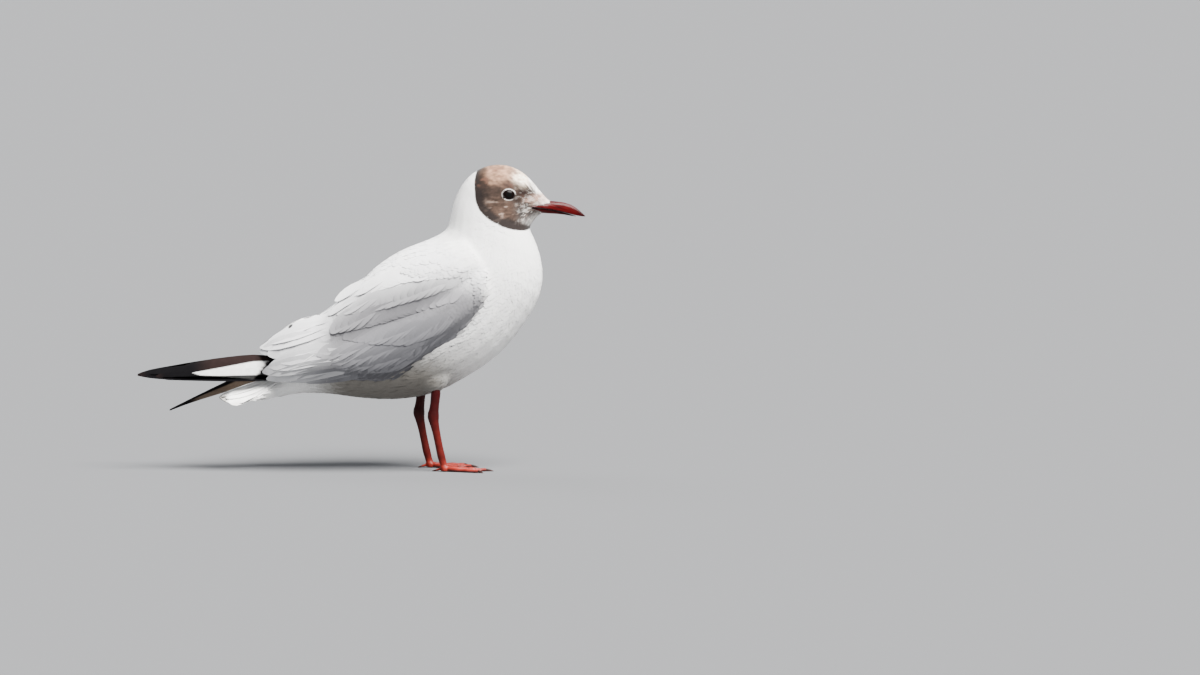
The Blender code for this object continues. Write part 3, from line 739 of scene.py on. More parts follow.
class Vanes:
    """Feather vanes gathered into one mesh, with their colours, normals and maps."""

    def __init__(self):
        self.points, self.normals, self.faces = [], [], []
        self.colours, self.vane_map, self.bake_map = [], [], []
        self.count = 0

    def lay(self, line, normal, ahead, widths, bake, colours, profile, columns, heights,
            camber=0.10, soften=0.12, ragged=0.0, random=None, thickness=0.0, roll=0.0):  # fmt: skip
        """Adds vanes whose middle lines, normals and headings are given row by row.

        line, normal and ahead hold rows x vanes x 3. colours(points, share, across) gives the
        colour of every point. heights holds rows x vanes, over the line. roll lifts one edge.
        """
        aside = np.cross(normal, ahead)
        across = np.linspace(-1, 1, columns)
        share = column(profile)
        half = widths[None, :] / 2 * column(profile, 1)[:, None]
        place = (
            line[:, :, None, :]
            + aside[:, :, None, :] * (half[:, :, None] * across)[..., None]
            + normal[:, :, None, :]
            * (heights[:, :, None] - camber * half[:, :, None] * across**2 + roll * across)[..., None]
        )
        if ragged:
            pull = random.uniform(-ragged, ragged, (1, len(widths), columns))
            pull = pull * (share**3)[:, None, None] * widths[None, :, None]
            place += ahead[:, :, None, :] * pull[..., None]
        tilt = (share**2 * 0.5)[:, None, None, None] * ahead[:, :, None, :]
        lean = (0.6 * across)[None, None, :, None] * aside[:, :, None, :]
        shown = unit(normal[:, :, None, :] + soften * (tilt + lean))
        shares, acrosses = spread(share, across, place.shape[:3])
        colour = colours(place, shares, acrosses)
        bake_place = bake_spots(bake, shares, acrosses)
        vane_place = np.stack([acrosses * 0.5 + 0.5, shares], -1)
        if thickness:
            under = place - normal[:, :, None, :] * thickness
            self.close(place, under, shown, -shown, colour, vane_place, bake_place)
            return
        grid = np.arange(place[..., 0].size).reshape(place.shape[:3])
        self.add(place, shown, quads_over(grid), colour, vane_place, bake_place)

    def close(self, place, under, shown, shown_under, colour, vane_place, bake_place):
        """Adds thin closed blades: an outer face, an inner face and a rim."""
        rows, _, columns = place.shape[:3]
        size = place[..., 0].size
        grid = np.arange(size).reshape(place.shape[:3])
        quads = quads_over(grid)
        rim = [(0, c) for c in range(columns)] + [(r, columns - 1) for r in range(1, rows)]
        rim += [(rows - 1, c) for c in range(columns - 2, -1, -1)]
        rim += [(r, 0) for r in range(rows - 2, 0, -1)]
        walls = []
        for (row, column), (next_row, next_column) in zip(rim, rim[1:] + rim[:1]):
            here, there = grid[row, :, column], grid[next_row, :, next_column]
            walls.append(np.stack([here, there, there + size, here + size], -1))
        faces = np.concatenate([quads, quads[:, ::-1] + size, *walls])
        pairs = ((place, under), (shown, shown_under), colour, (vane_place,) * 2, (bake_place,) * 2)
        points, normals, colours, vane_map, bake_map = [
            np.concatenate([one.reshape(size, -1), two.reshape(size, -1)]) for one, two in pairs
        ]
        self.add(points, normals, faces, colours, vane_map, bake_map)

    def add(self, points, normals, faces, colours, vane_map, bake_map):
        self.points.append(points.reshape(-1, 3))
        self.normals.append(normals.reshape(-1, 3))
        self.colours.append(colours.reshape(-1, 3))
        self.vane_map.append(vane_map.reshape(-1, 2))
        self.bake_map.append(bake_map.reshape(-1, 2))
        self.faces.append(faces + self.count)
        self.count += len(self.points[-1])

    def build(self, name, finish):
        """The vanes as one mesh object."""
        points, faces = np.concatenate(self.points), np.concatenate(self.faces)
        mesh = bpy.data.meshes.new(name)
        mesh.vertices.add(len(points))
        mesh.vertices.foreach_set("co", points.astype(np.float32).ravel())
        mesh.loops.add(faces.size)
        mesh.loops.foreach_set("vertex_index", faces.astype(np.int32).ravel())
        mesh.polygons.add(len(faces))
        mesh.polygons.foreach_set("loop_start", np.arange(0, faces.size, 4, dtype=np.int32))
        mesh.update(calc_edges=True)
        corner = faces.ravel()
        for title, values in (("OFBake", self.bake_map), ("Vane", self.vane_map)):
            layer = mesh.uv_layers.new(name=title)
            flat = np.concatenate(values)[corner].astype(np.float32)
            layer.data.foreach_set("uv", flat.ravel())
        paint_points(mesh, np.concatenate(self.colours))
        mesh.shade_smooth()
        mesh.normals_split_custom_set_from_vertices(np.concatenate(self.normals).tolist())
        mesh.materials.append(finish)
        drop_old(name)
        made = bpy.data.objects.new(name, mesh)
        bpy.context.scene.collection.objects.link(made)
        return made


def paint_points(mesh, colours):
    """Writes a colour for every vertex into the Markings attribute."""
    layer = mesh.color_attributes.new(name="Markings", type="FLOAT_COLOR", domain="POINT")
    flat = np.concatenate([colours, np.ones((len(colours), 1))], axis=1)
    layer.data.foreach_set("color", flat.astype(np.float32).ravel())


def march(surface, roots, normals, aims, lengths, profile):
    """Middle lines that follow the surface from their roots, row by row."""
    lines, ups, ways = [], [], []
    place, up = roots, normals
    before = 0.0
    way = on_surface(aims(place), up)
    for share, _ in profile:
        step = (share - before) * lengths[:, None]
        if share > 0:
            place, up, _ = surface.nearest(place + way * step)
            way = on_surface(way * 0.5 + 0.5 * on_surface(aims(place), up), up)
        before = share
        lines.append(place)
        ups.append(up)
        ways.append(way)
    return np.array(lines), np.array(ups), np.array(ways)


# ---------------------------------------------------------------- materials


def new_material(name):
    made = bpy.data.materials.get(name)
    if made:
        bpy.data.materials.remove(made)
    made = bpy.data.materials.new(name)
    made.use_nodes = True
    return made, made.node_tree.nodes, made.node_tree.links


def set_inputs(node, **values):
    """Sets a node's inputs by name, with underscores for the spaces."""
    for name, value in values.items():
        node.inputs[name.replace("_", " ")].default_value = value
    return node


def add_node(nodes, kind, **values):
    return set_inputs(nodes.new(f"ShaderNode{kind}"), **values)


def painted(made, tone, height, strength, distance, **values):
    """Shows the Markings attribute, varied by a tone and in relief by a height, where there are."""
    nodes, links = made.node_tree.nodes, made.node_tree.links
    shader = set_inputs(nodes["Principled BSDF"], **values)
    markings = nodes.new("ShaderNodeAttribute")
    markings.attribute_name = "Markings"
    colour = markings.outputs["Color"]
    if tone:
        blend = nodes.new("ShaderNodeVectorMath")
        blend.operation = "SCALE"
        links.new(colour, blend.inputs[0])
        links.new(tone, blend.inputs["Scale"])
        colour = blend.outputs["Vector"]
    links.new(colour, shader.inputs["Base Color"])
    if height:
        bump = add_node(nodes, "Bump", Strength=strength, Distance=distance)
        links.new(height, bump.inputs["Height"])
        links.new(bump.outputs["Normal"], shader.inputs["Normal"])
    return made


def feather_material(name, roughness=0.75, barb_depth=0.12, gloss=0.12, sheen=0.1):
    """Vane colour from the Markings attribute, broken by fine barbs that run out from the shaft."""
    made, nodes, links = new_material(name)
    vane = nodes.new("ShaderNodeUVMap")
    vane.uv_map = "Vane"
    slant = add_node(nodes, "Mapping", Scale=(2.2, 26.0, 1.0), Rotation=(0, 0, math.radians(4)))
    barbs = add_node(nodes, "TexNoise", Scale=1.0, Detail=2.0)
    tone = add_node(nodes, "MapRange", From_Min=0.25, From_Max=0.75)
    set_inputs(tone, To_Min=1.0 - barb_depth, To_Max=1.0 + barb_depth * 0.4)
    links.new(vane.outputs["UV"], slant.inputs["Vector"])
    links.new(slant.outputs["Vector"], barbs.inputs["Vector"])
    links.new(barbs.outputs["Fac"], tone.inputs["Value"])
    return painted(
        made, tone.outputs["Result"], barbs.outputs["Fac"], 0.25, 0.1 * MM,
        Roughness=roughness, Specular_IOR_Level=gloss, Sheen_Weight=sheen, Sheen_Roughness=0.5,
    )  # fmt: skip


def skin_material(name, roughness=0.8):
    """The skin between the feathers, in the coat's own markings."""
    made, nodes, links = new_material(name)
    place = nodes.new("ShaderNodeTexCoord")
    fluff = add_node(nodes, "TexNoise", Scale=900.0, Detail=3.0)
    links.new(place.outputs["Object"], fluff.inputs["Vector"])
    return painted(
        made, None, fluff.outputs["Fac"], 0.5, 0.4 * MM,
        Roughness=roughness, Specular_IOR_Level=0.15,
    )  # fmt: skip


def scaled_material(name):
    """Bare leg skin: painted reds under small scales, a little moist."""
    made, nodes, links = new_material(name)
    place = nodes.new("ShaderNodeTexCoord")
    scales = add_node(nodes, "TexVoronoi")
    scales.feature = "DISTANCE_TO_EDGE"
    set_inputs(scales, Scale=1300.0)
    seams = add_node(nodes, "MapRange", From_Max=0.12, To_Min=0.86)
    tint = add_node(nodes, "TexNoise", Scale=260.0, Detail=3.0)
    mottle = add_node(nodes, "MapRange", From_Min=0.3, From_Max=0.7, To_Min=0.82, To_Max=1.12)
    darker = nodes.new("ShaderNodeMath")
    darker.operation = "MULTIPLY"
    links.new(place.outputs["Object"], scales.inputs["Vector"])
    links.new(place.outputs["Object"], tint.inputs["Vector"])
    links.new(scales.outputs["Distance"], seams.inputs["Value"])
    links.new(tint.outputs["Fac"], mottle.inputs["Value"])
    links.new(seams.outputs["Result"], darker.inputs[0])
    links.new(mottle.outputs["Result"], darker.inputs[1])
    return painted(
        made, darker.outputs["Value"], seams.outputs["Result"], 0.5, 0.18 * MM,
        Roughness=0.42, Specular_IOR_Level=0.15, Coat_Weight=0.02,
    )  # fmt: skip


def horn_material(name, roughness=0.3, grain=600.0):
    """Bill or claw horn: painted colours, long faint growth lines and a soft gloss."""
    made, nodes, links = new_material(name)
    place = nodes.new("ShaderNodeTexCoord")
    stretch = add_node(nodes, "Mapping", Scale=(0.22, 1.0, 1.0))
    lines = add_node(nodes, "TexNoise", Scale=grain, Detail=4.0)
    tone = add_node(nodes, "MapRange", From_Min=0.3, From_Max=0.7, To_Min=0.78, To_Max=1.18)
    links.new(place.outputs["Object"], stretch.inputs["Vector"])
    links.new(stretch.outputs["Vector"], lines.inputs["Vector"])
    links.new(lines.outputs["Fac"], tone.inputs["Value"])
    return painted(
        made, tone.outputs["Result"], lines.outputs["Fac"], 0.2, 0.1 * MM,
        Roughness=roughness, Specular_IOR_Level=0.07, Coat_Weight=0.03, Coat_Roughness=0.15,
    )  # fmt: skip


def eye_material():
    """Glossy eyes, the painted iris broken by fine flecks."""
    made, nodes, links = new_material("eye_gloss")
    place = nodes.new("ShaderNodeTexCoord")
    flecks = add_node(nodes, "TexNoise", Scale=1500.0)
    tone = add_node(nodes, "MapRange", To_Min=0.7, To_Max=1.3)
    links.new(place.outputs["Object"], flecks.inputs["Vector"])
    links.new(flecks.outputs["Fac"], tone.inputs["Value"])
    return painted(
        made, tone.outputs["Result"], None, 0, 0, Roughness=0.06, Specular_IOR_Level=0.04
    )


# ---------------------------------------------------------------- the form and the skin

FORM_CELL, FORM_ROUNDS = 1.4 * MM, 7
TAIL_END = -98 * MM  # behind this the tail is feathers alone
WING_SKIN_END = -64 * MM  # behind this the skin draws in under the wings' longest feathers
WING_SKIN_LOW = 70 * MM  # and above this height
UNDERTAIL = 3.0 * MM  # how far the long feathers under the tail fill out its root
BILL_CORE = 163 * MM  # in front of this the bill has no skin inside


def coat_depth(points):
    return COAT_DEPTH * coat_near(points)[:, 2] * MM


LID_PLACES, LID_REACH = 24, 1.25  # places round an eye, and how far out, for its lids' plane


def lid_plane(form, side):
    """The plane through the coat round an eye, as y over x and z: three numbers."""
    turn = np.linspace(0, 2 * math.pi, LID_PLACES, endpoint=False)
    x = EYE_CENTRE.x + LID_REACH * EYE_OPENING[0] * np.cos(turn)
    z = EYE_CENTRE.z + LID_REACH * EYE_OPENING[1] * np.sin(turn)
    y = np.abs(form.from_side(x, z, SIDES[side])[0][:, 1])
    return np.linalg.lstsq(np.stack([x, z, np.ones(LID_PLACES)], 1), y, rcond=None)[0]


def eye_place(along, up, plane, side, rise):
    """Points of an eye from its own axes, lifted off the plane of its lids."""
    x = EYE_CENTRE.x + along * math.cos(EYE_TILT) - up * math.sin(EYE_TILT)
    z = EYE_CENTRE.z + along * math.sin(EYE_TILT) + up * math.cos(EYE_TILT)
    return np.stack([x, SIDES[side] * (np.stack([x, z, x * 0 + 1], 1) @ plane + rise), z], 1)


SOCKET_DEPTH, BILL_DEPTH = 2.6 * MM, 1.5 * MM  # more skin depth, behind the eyes and in the bill


def skin_depth(points):
    """How far the skin lies under the coat's surface: deeper in the eyes' sockets and the bill."""
    reach, _ = eye_reach(points)
    socket = falling(reach, 1.02, 1.25) * (np.abs(points[:, 1]) > EYE_SIDE)
    return coat_depth(points) + SOCKET_DEPTH * socket + BILL_DEPTH * on_bill(points, 0.6)


def unwrapped(thing):
    """Adds the OFBake map: islands of the thing's own shape."""
    if not thing.data.uv_layers:
        thing.data.uv_layers.new(name="OFBake")
    with editing(thing):
        bpy.ops.uv.smart_project(angle_limit=math.radians(66), island_margin=0.002)


def coat_form():
    """The bird's outside as one smooth form, hidden: what every feather is laid on."""
    found = bpy.data.objects.get("coat_form")
    if found:
        return found
    wings = [f"wing_{side}_{panel}" for side in SIDES for panel in PANELS]
    nodes = [*FLESH, "eye_left", "eye_right", "bill_upper", "bill_lower", "tail", *wings]
    form = melted("coat_form", nodes, FORM_CELL, FORM_ROUNDS)
    points, normals = vertex_points(form.data), vertex_normals(form.data)
    full = np.exp(-(((points[:, 0] / MM + 78) / 13) ** 2)) * falling(normals[:, 2], -0.6, 0.0)
    full *= falling(np.abs(points[:, 1]), 15 * MM, 21 * MM) * (points[:, 2] < 74 * MM)
    points[:, 2] -= UNDERTAIL * full
    move_points(form.data, points)
    unwrapped(form)
    form.hide_render = True
    return form


def inset(points, normals, tree, depth):
    """Points moved inwards by depth, but never past a third of the way through."""
    room = np.full(len(points), 1.0)
    for number, (point, normal) in enumerate(zip(points.tolist(), normals.tolist())):
        way = -Vector(normal)
        hit = tree.ray_cast(Vector(point) + way * 1e-4, way)
        if hit[0] is not None:
            room[number] = hit[3]
    return points - normals * np.minimum(depth, room / 3)[:, None]


LEG_SWELL = 0.7 * MM  # the skin and scutes over the leg's own form
LEG_ROUNDS, LEG_GROWTH = 3, 0.25 * MM
SCUTE, SCUTE_RISE = 2.3, 0.2 * MM  # length of the shank's scutes in mm, and their relief
TOE_RIDGE, TOE_RISE = 1.3, 0.1 * MM  # spacing of the toes' ridges in mm, and their relief


def leg_form(side):
    """One leg from the feathered thigh to the toes, with its cuts closed."""
    voxel = bpy.context.scene.gull_bare_parts.voxel
    nodes = [f"{part}_{side}" for part in ("tibia", "tarsus", "foot")]
    return melted(f"leg_{side}_form", nodes, voxel, LEG_ROUNDS, growth=LEG_GROWTH)


def ridged_leg(leg, side):
    """Swells the shank, and raises the scutes down its front and ridges on toes and webs."""
    mesh = leg.data
    points, normals = vertex_points(mesh), vertex_normals(mesh)
    low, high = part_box(f"tarsus_{side}")
    z = points[:, 2]
    front = smooth_step(normals[:, 0], 0.1, 0.8)
    shank = smooth_step(z, low.z + 1 * MM, low.z + 4 * MM)
    scutes = np.abs(np.sin(z / MM * math.pi / SCUTE)) ** 0.5 - 0.8
    lift = SCUTE_RISE * scutes * front * shank + LEG_SWELL * smooth_step(z, 5 * MM, 15 * MM)
    toe_low = falling(z, 2 * MM, 4 * MM) * smooth_step(normals[:, 2], 0.2, 0.9)
    heel = np.array([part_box(f"foot_{side}")[0].x + 10 * MM, (low.y + high.y) / 2])
    reach = np.linalg.norm(points[:, :2] - heel, axis=1) / MM
    lift += TOE_RISE * toe_low * np.sin(reach * math.pi / TOE_RIDGE)
    points += normals * lift[:, None]
    points[:, 2] = np.maximum(points[:, 2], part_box(f"foot_{side}")[0].z)
    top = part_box(f"tibia_{side}")[1].z
    points[:, 2] += 3 * MM * smooth_step(z, top - 1.6 * MM, top - 0.4 * MM)
    move_points(mesh, points)


def leg_colour(points, side, bare):
    """Deep red under the belly, brighter at the foot, with dusky webs between the toes."""
    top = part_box(f"tarsus_{side}")[1].z
    z = points[:, 2] / MM
    height = 0.75 * smooth_step(z, 2, 11) + 0.25 * smooth_step(z, 28, 52)
    colour = mixed(bare.toe, bare.shank, height)
    joint = np.exp(-(((z - top / MM) / 5) ** 2)) * 0.45
    colour = mixed(colour, np.array(bare.shank) * 0.6, joint)
    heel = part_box(f"foot_{side}")[0].x
    ahead = smooth_step(points[:, 0], heel + 9 * MM, heel + 16 * MM)
    flat = falling(z, 1.45, 1.9) * ahead
    colour = mixed(colour, bare.web, flat * 0.9)
    mottle = patches(points, 3.0, 7) * 0.14 + patches(points, 1.1, 8) * 0.08
    return colour * (1 + mottle)[:, None]


RING_REACH, RING_SPREAD = 0.96, 0.9  # the lids' ring on the eye's ellipse, and its width
RING_RISE, RING_HEIGHT = 0.12 * MM, 3.6 * MM  # its middle and its height over the lids' plane


def lid_ring(side, form):
    """The dark rim of the lids: a thin ring on the eyeball, level with the coat round it."""
    deselect()
    bpy.ops.mesh.primitive_torus_add(
        major_segments=48, minor_segments=10, major_radius=1.0, minor_radius=0.1, location=(0, 0, 0)
    )
    ring = bpy.context.object
    points = vertex_points(ring.data)
    turn = np.arctan2(points[:, 1], points[:, 0])
    reach = RING_REACH + (np.hypot(points[:, 0], points[:, 1]) - 1) * RING_SPREAD
    along, up = reach * EYE_OPENING[0] * np.cos(turn), reach * EYE_OPENING[1] * np.sin(turn)
    rise = RING_RISE + points[:, 2] * RING_HEIGHT
    made = eye_place(along, up, lid_plane(form, side), side, rise)
    move_points(ring.data, made)
    faced_out(ring)
    return ring


def build_skin():
    plumage, bare = bpy.context.scene.gull_plumage, bpy.context.scene.gull_bare_parts
    form = coat_form()
    body = bpy.data.objects.new("body_skin", form.data.copy())
    bpy.context.scene.collection.objects.link(body)
    surface = Surface(form)
    points = inset(surface.points, surface.normals, surface.tree, skin_depth(surface.points))
    rear = (points[:, 0] < WING_SKIN_END) & (points[:, 2] > WING_SKIN_LOW)
    points[rear, 0] = WING_SKIN_END + (points[rear, 0] - WING_SKIN_END) * 0.5
    move_points(body.data, points)
    colours = coat_colour(surface.points, plumage)
    wing = surface.normals[:, 1] ** 2 > 0.2
    wing &= on_wing(surface.points, 0)
    colours[wing] = wing_grey(surface.points[wing], plumage)
    paint_points(body.data, colours * 0.97)
    body.data.materials.append(skin_material("down_skin"))
    with editing(body):
        for end, way in ((TAIL_END, -1), (BILL_CORE, 1)):
            bpy.ops.mesh.select_all(action="SELECT")
            bpy.ops.mesh.bisect(
                plane_co=(end, 0, 0), plane_no=(way, 0, 0), clear_outer=True, use_fill=True
            )
    parts = [body]
    scales, rim = scaled_material("leg_scales"), skin_material("lid_rim", 0.5)
    for side in SIDES:
        leg = leg_form(side)
        ridged_leg(leg, side)
        paint_points(leg.data, leg_colour(vertex_points(leg.data), side, bare))
        leg.data.materials.clear()
        leg.data.materials.append(scales)
        lid = lid_ring(side, surface)
        paint_points(lid.data, np.tile(srgb(14, 12, 12), (len(lid.data.vertices), 1)))
        lid.data.materials.append(rim)
        parts += [leg, lid]
    skin = joined("skin", parts)
    unwrapped(skin)
    legs = [f"{part}_{side}" for part in ("tibia", "tarsus", "foot") for side in SIDES]
    finish_piece(skin, "white_breast", *FLESH, *legs)


def finish_piece(piece, slot, *nodes):
    """Rides a piece on the body and hides the CAD nodes that it stands for. The slot, its finish's
    name, is not used.
    """
    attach(piece, BODY)
    if nodes:
        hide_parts(*nodes)


# ---------------------------------------------------------------- body and head coat


def on_wing(points, margin):
    """Whether points lie on the folded wing's outer face, by the panels' outline from the side."""
    x, z = side_view(points)
    top = wing_top(x) + margin
    low = np.interp(x, *zip(*WING_LOW))
    return (z < top) & (z > low - margin) & (x < 107 + margin) & (x > -88)


def region(points):
    """Which coat piece a root belongs to, by its number in COAT_PIECES."""
    x, z = side_view(points)
    number = np.full(len(points), BELLY)
    number[(z > 130 - 0.9 * (x - 100)) & (x > 60)] = BREAST
    number[(x < 78) & (z > 105 + 0.42 * x) & (z < 206)] = BACK
    number[z > 180 - 0.35 * (x - 110)] = NECK
    head = (z > 195) & (x > 86) & (z > 215 - 0.5 * (x - 96))
    number[head] = np.where(points[head, 1] < 0, HOOD_RIGHT, HOOD_LEFT)
    return number


COAT_PIECES = (
    ("feathers_hood_left", "hood"),
    ("feathers_hood_right", "hood"),
    ("feathers_neck", "white_breast"),
    ("feathers_breast", "white_breast"),
    ("feathers_belly", "white_down"),
    ("feathers_back", "grey_wing"),
)
HOOD_LEFT, HOOD_RIGHT, NECK, BREAST, BELLY, BACK = range(len(COAT_PIECES))
COAT_SPACING = 0.86  # of the spacing in the Lie table
HOOD_TRIES = 3  # times that a feather on the hood may be shortened, to clear eye and bill


def coat_keep(middle, normal):
    """Where body feathers grow: not on the wings, the tail's end, the eyes or the bill."""
    x, z = side_view(middle)
    outer = np.abs(normal[:, 1]) > 0.35
    edge = np.where(x > 44, -4.5, -3)
    wing = on_wing(middle, edge) & outer & (np.abs(middle[:, 1]) > 14 * MM)
    wing |= on_wing(middle, -8) & (np.abs(middle[:, 1]) > 20 * MM)
    wing |= (x < -25) & (z > 75) & ((normal[:, 2] < 0.55) | (np.abs(middle[:, 1]) > 5 * MM))
    wing |= (x < -20) & (z > 66) & (np.abs(middle[:, 1]) > 20 * MM)
    wing |= (x < 36) & (z > 71) & (z < 100) & (np.abs(middle[:, 1]) > 30 * MM)
    reach, _ = eye_reach(middle)
    eye = (reach < 1.08) & (np.abs(middle[:, 1]) > EYE_SIDE)
    return ~wing & (x > -66) & ~eye & ~on_bill(middle)


def covers_bare(line):
    """Which vanes would lie over an eye or the bill."""
    over = np.zeros(line.shape[1], bool)
    for row in line[1:]:
        over |= (eye_reach(row)[0] < 1.0) & (np.abs(row[:, 1]) > EYE_SIDE)
        over |= on_bill(row, 0.2)
    return over


def build_coat():
    plumage = bpy.context.scene.gull_plumage
    random = np.random.default_rng(plumage.seed)
    surface = Surface(coat_form())
    roots, normals, bake = surface.scatter(
        coat_keep, lambda points: coat_near(points)[:, 4] * MM * COAT_SPACING, random
    )
    numbers = region(roots)
    finish = feather_material("body_vanes")
    share = column(SMALL_VANE)[:, None]
    for number, (name, slot) in enumerate(COAT_PIECES):
        chosen, hood = numbers == number, number in (HOOD_LEFT, HOOD_RIGHT)
        count = int(chosen.sum())
        here, up, spot = roots[chosen], normals[chosen], bake[chosen]
        near = coat_near(here)
        vary = random.uniform(0.85, 1.15, (2, count)) * plumage.feather_scale
        if hood:
            vary[0] *= 0.5 + 0.5 * smooth_step(np.abs(hood_shares(here)[0]), 2, 8)
        lengths, widths = near[:, 2] * MM * vary[0], near[:, 3] * MM * vary[1]
        swing = random.normal(0, 0.13, (count, 1))

        def aims(points, swing=swing):
            aim = coat_aim(points)
            side = np.stack([-aim[:, 2], aim[:, 1] * 0, aim[:, 0]], 1)
            return aim + side * swing

        for _ in range(HOOD_TRIES if hood else 1):
            line, normal, ahead = march(surface, here, up, aims, lengths, SMALL_VANE)
            over = covers_bare(line)
            lengths = lengths * np.where(over, 0.5, 1.0)
        sunk = COAT_DEPTH * 1.1 * lengths[None, :]
        lift = random.uniform(-0.6, 1.0, (1, count)) * 0.006 * lengths[None, :]
        heights = -sunk * (1 - share) ** 1.4 + lift * share**2
        on_top = on_wing(line[-1], 0) & (np.abs(line[-1, :, 1]) > 20 * MM)
        on_top &= line[-1, :, 0] > 34 * MM
        heights = heights + 0.7 * MM * share**0.7 * on_top[None, :]
        base = coat_colour(line[2], plumage, plumage.seed)
        tone = random.normal(1, 0.012, count)
        if hood:
            tone = np.where(hood_shares(line[2])[0] > 0, random.normal(1, 0.09, count), tone)
            base = specked(base, line[2], random)
        base = np.clip(base * tone[:, None], 0, 0.95)[~over]

        def colours(place, shares, acrosses, base=base, hood=hood):
            own = base[None, :, None, :] * (1 - 0.05 * (1 - shares) ** 2)[..., None]
            if not hood:
                return own
            flat = place.reshape(-1, 3)
            near = coat_colour(flat, plumage, plumage.seed).reshape(place.shape)
            inside = hood_shares(flat)[0].reshape(shares.shape)
            held = 0.1 + 0.45 * smooth_step(np.abs(inside), 0.4, 4)
            return own * held[..., None] + near * (1 - held[..., None])

        vanes = Vanes()
        vanes.lay(
            line[:, ~over], normal[:, ~over], ahead[:, ~over], widths[~over], spot[~over],
            colours, SMALL_VANE, 3, heights[:, ~over], ragged=0.12, random=random,
        )  # fmt: skip
        finish_piece(vanes.build(name, finish), slot)


def specked(base, points, random):
    """Dark and white flecks where the hood breaks up in front of the eye and on the chin."""
    x, z = side_view(points)
    face = smooth_step(x, 127, 137) * falling(z, 238, 245) * smooth_step(z, 206.5, 211)
    face *= falling(x, 150, 156)
    face *= 1 - np.exp(-(((x - 137) / 6) ** 2) - ((z - 235) / 6) ** 2)
    cluster = patches(points, (2.2, 4, 1.6), 31) + random.uniform(-0.35, 0.35, len(points))
    dark = smooth_step(cluster, 0.42, 0.6) * face * smooth_step(x, 129, 139) * 0.85
    white = falling(cluster, -0.45, -0.1) * face * 0.75
    base = mixed(base, srgb(236, 230, 222), white)
    return mixed(base, srgb(60, 44, 38), dark)


# ---------------------------------------------------------------- wing coat

# A row of feathers on the folded wing. Roots and tips run along guide lines, seen from the
# side; lift orders the overlaps, and shade and fringe set the grey and its pale edge.
Tract = namedtuple("Tract", "name roots tips count width lift shade fringe")
TRACTS = (
    Tract(
        "secondaries",
        ((-12, 107), (-6, 100), (0, 93), (4, 87), (8, 81)),
        ((-67, 96), (-73.5, 91), (-84, 82.5), (-79, 77.5), (-50, 76.5)),
        7, 15, -0.05, 1.0, 0.03,
    ),
    Tract(
        "tertials",
        ((-20, 134), (-23, 126), (-25, 117), (-26, 108)),
        ((-71, 114), (-79, 108), (-88.5, 101.5), (-76, 98)),
        5, 17, 0.26, 1.03, 0.02,
    ),
    Tract(
        "greater_coverts",
        ((4, 118), (24, 113), (44, 109), (62, 108)),
        ((-38, 100), (-24, 89), (0, 84), (26, 85)),
        14, 11, 0.05, 0.98, 0.02,
    ),
    Tract(
        "primary_coverts",
        ((14, 100), (29, 100), (44, 96), (55, 90)),
        ((-15, 85), (-2, 79.5), (12, 77), (29, 78)),
        8, 5.4, 0.2, 0.8, 0.5,
    ),
    Tract(
        "marginal_coverts",
        ((48, 112), (66, 118), (86, 129), (101, 147)),
        ((32, 94), (48, 97), (66, 107), (88, 126)),
        16, 8, 0.1, 0.97, 0.02,
    ),
    Tract(
        "median_coverts",
        ((12, 128), (36, 127), (60, 129), (86, 142)),
        ((-18, 113), (8, 109), (36, 108), (66, 117)),
        18, 11, 0.12, 0.98, 0.02,
    ),
    Tract(
        "lower_scapulars",
        ((-4, 139), (24, 141), (58, 149), (94, 160)),
        ((-28, 116.5), (0, 122.5), (34, 133), (78, 144)),
        19, 13, 0.38, 1.02, 0.02,
    ),
    Tract(
        "mid_scapulars",
        ((-2, 150), (28, 153), (58, 160), (92, 167)),
        ((-30, 131), (2, 135), (36, 145), (74, 156)),
        17, 13, 0.22, 1.03, 0.015,
    ),
    Tract(
        "upper_scapulars",
        ((4, 160), (28, 167), (56, 173), (84, 172)),
        ((-24, 142), (0, 150), (32, 161), (64, 166)),
        15, 13, 0.16, 1.05, 0.015,
    ),
)  # fmt: skip
# The small feathers under the tracts: their share of the Lie table's spacing, length and width, mm.
UNDER_SPACING, UNDER_LENGTH, UNDER_WIDTH = 0.75, (9, 12), 4.6
SHINGLE = 0.035 * MM  # how far a wing feather's lower edge stands over its neighbour
SHAFT = ((-38.2, 100.0), (-63.4, 82.3), 0.55)  # a secondary's pale shaft: its ends and width
MARK = (-59.2, 121.6, 2.2, 1.0, 40)  # a dark mark on a tertial: place, half size and turn


def tract_cells(tract):
    """Rows and columns of a tract's vanes: many on the tertials, for the mark's sharp edge."""
    return (100, 31) if tract.name == "tertials" else (26, 11)


def along_guide(guide, share):
    """Points along a guide line at shares of its length, mm."""
    guide = np.array(guide, float)
    steps = np.r_[0, np.cumsum(np.hypot(*np.diff(guide, axis=0).T))]
    steps /= steps[-1]
    return np.interp(share, steps, guide[:, 0]), np.interp(share, steps, guide[:, 1])


def refined(rows, profile):
    """Rows of points or normals of BROAD_VANE, filled in for a finer profile."""
    known = column(BROAD_VANE)
    share = column(profile)
    after = np.clip(np.searchsorted(known, share), 1, len(known) - 1)
    part = (share - known[after - 1]) / (known[after] - known[after - 1])
    return rows[after - 1] + (rows[after] - rows[after - 1]) * part[:, None, None]


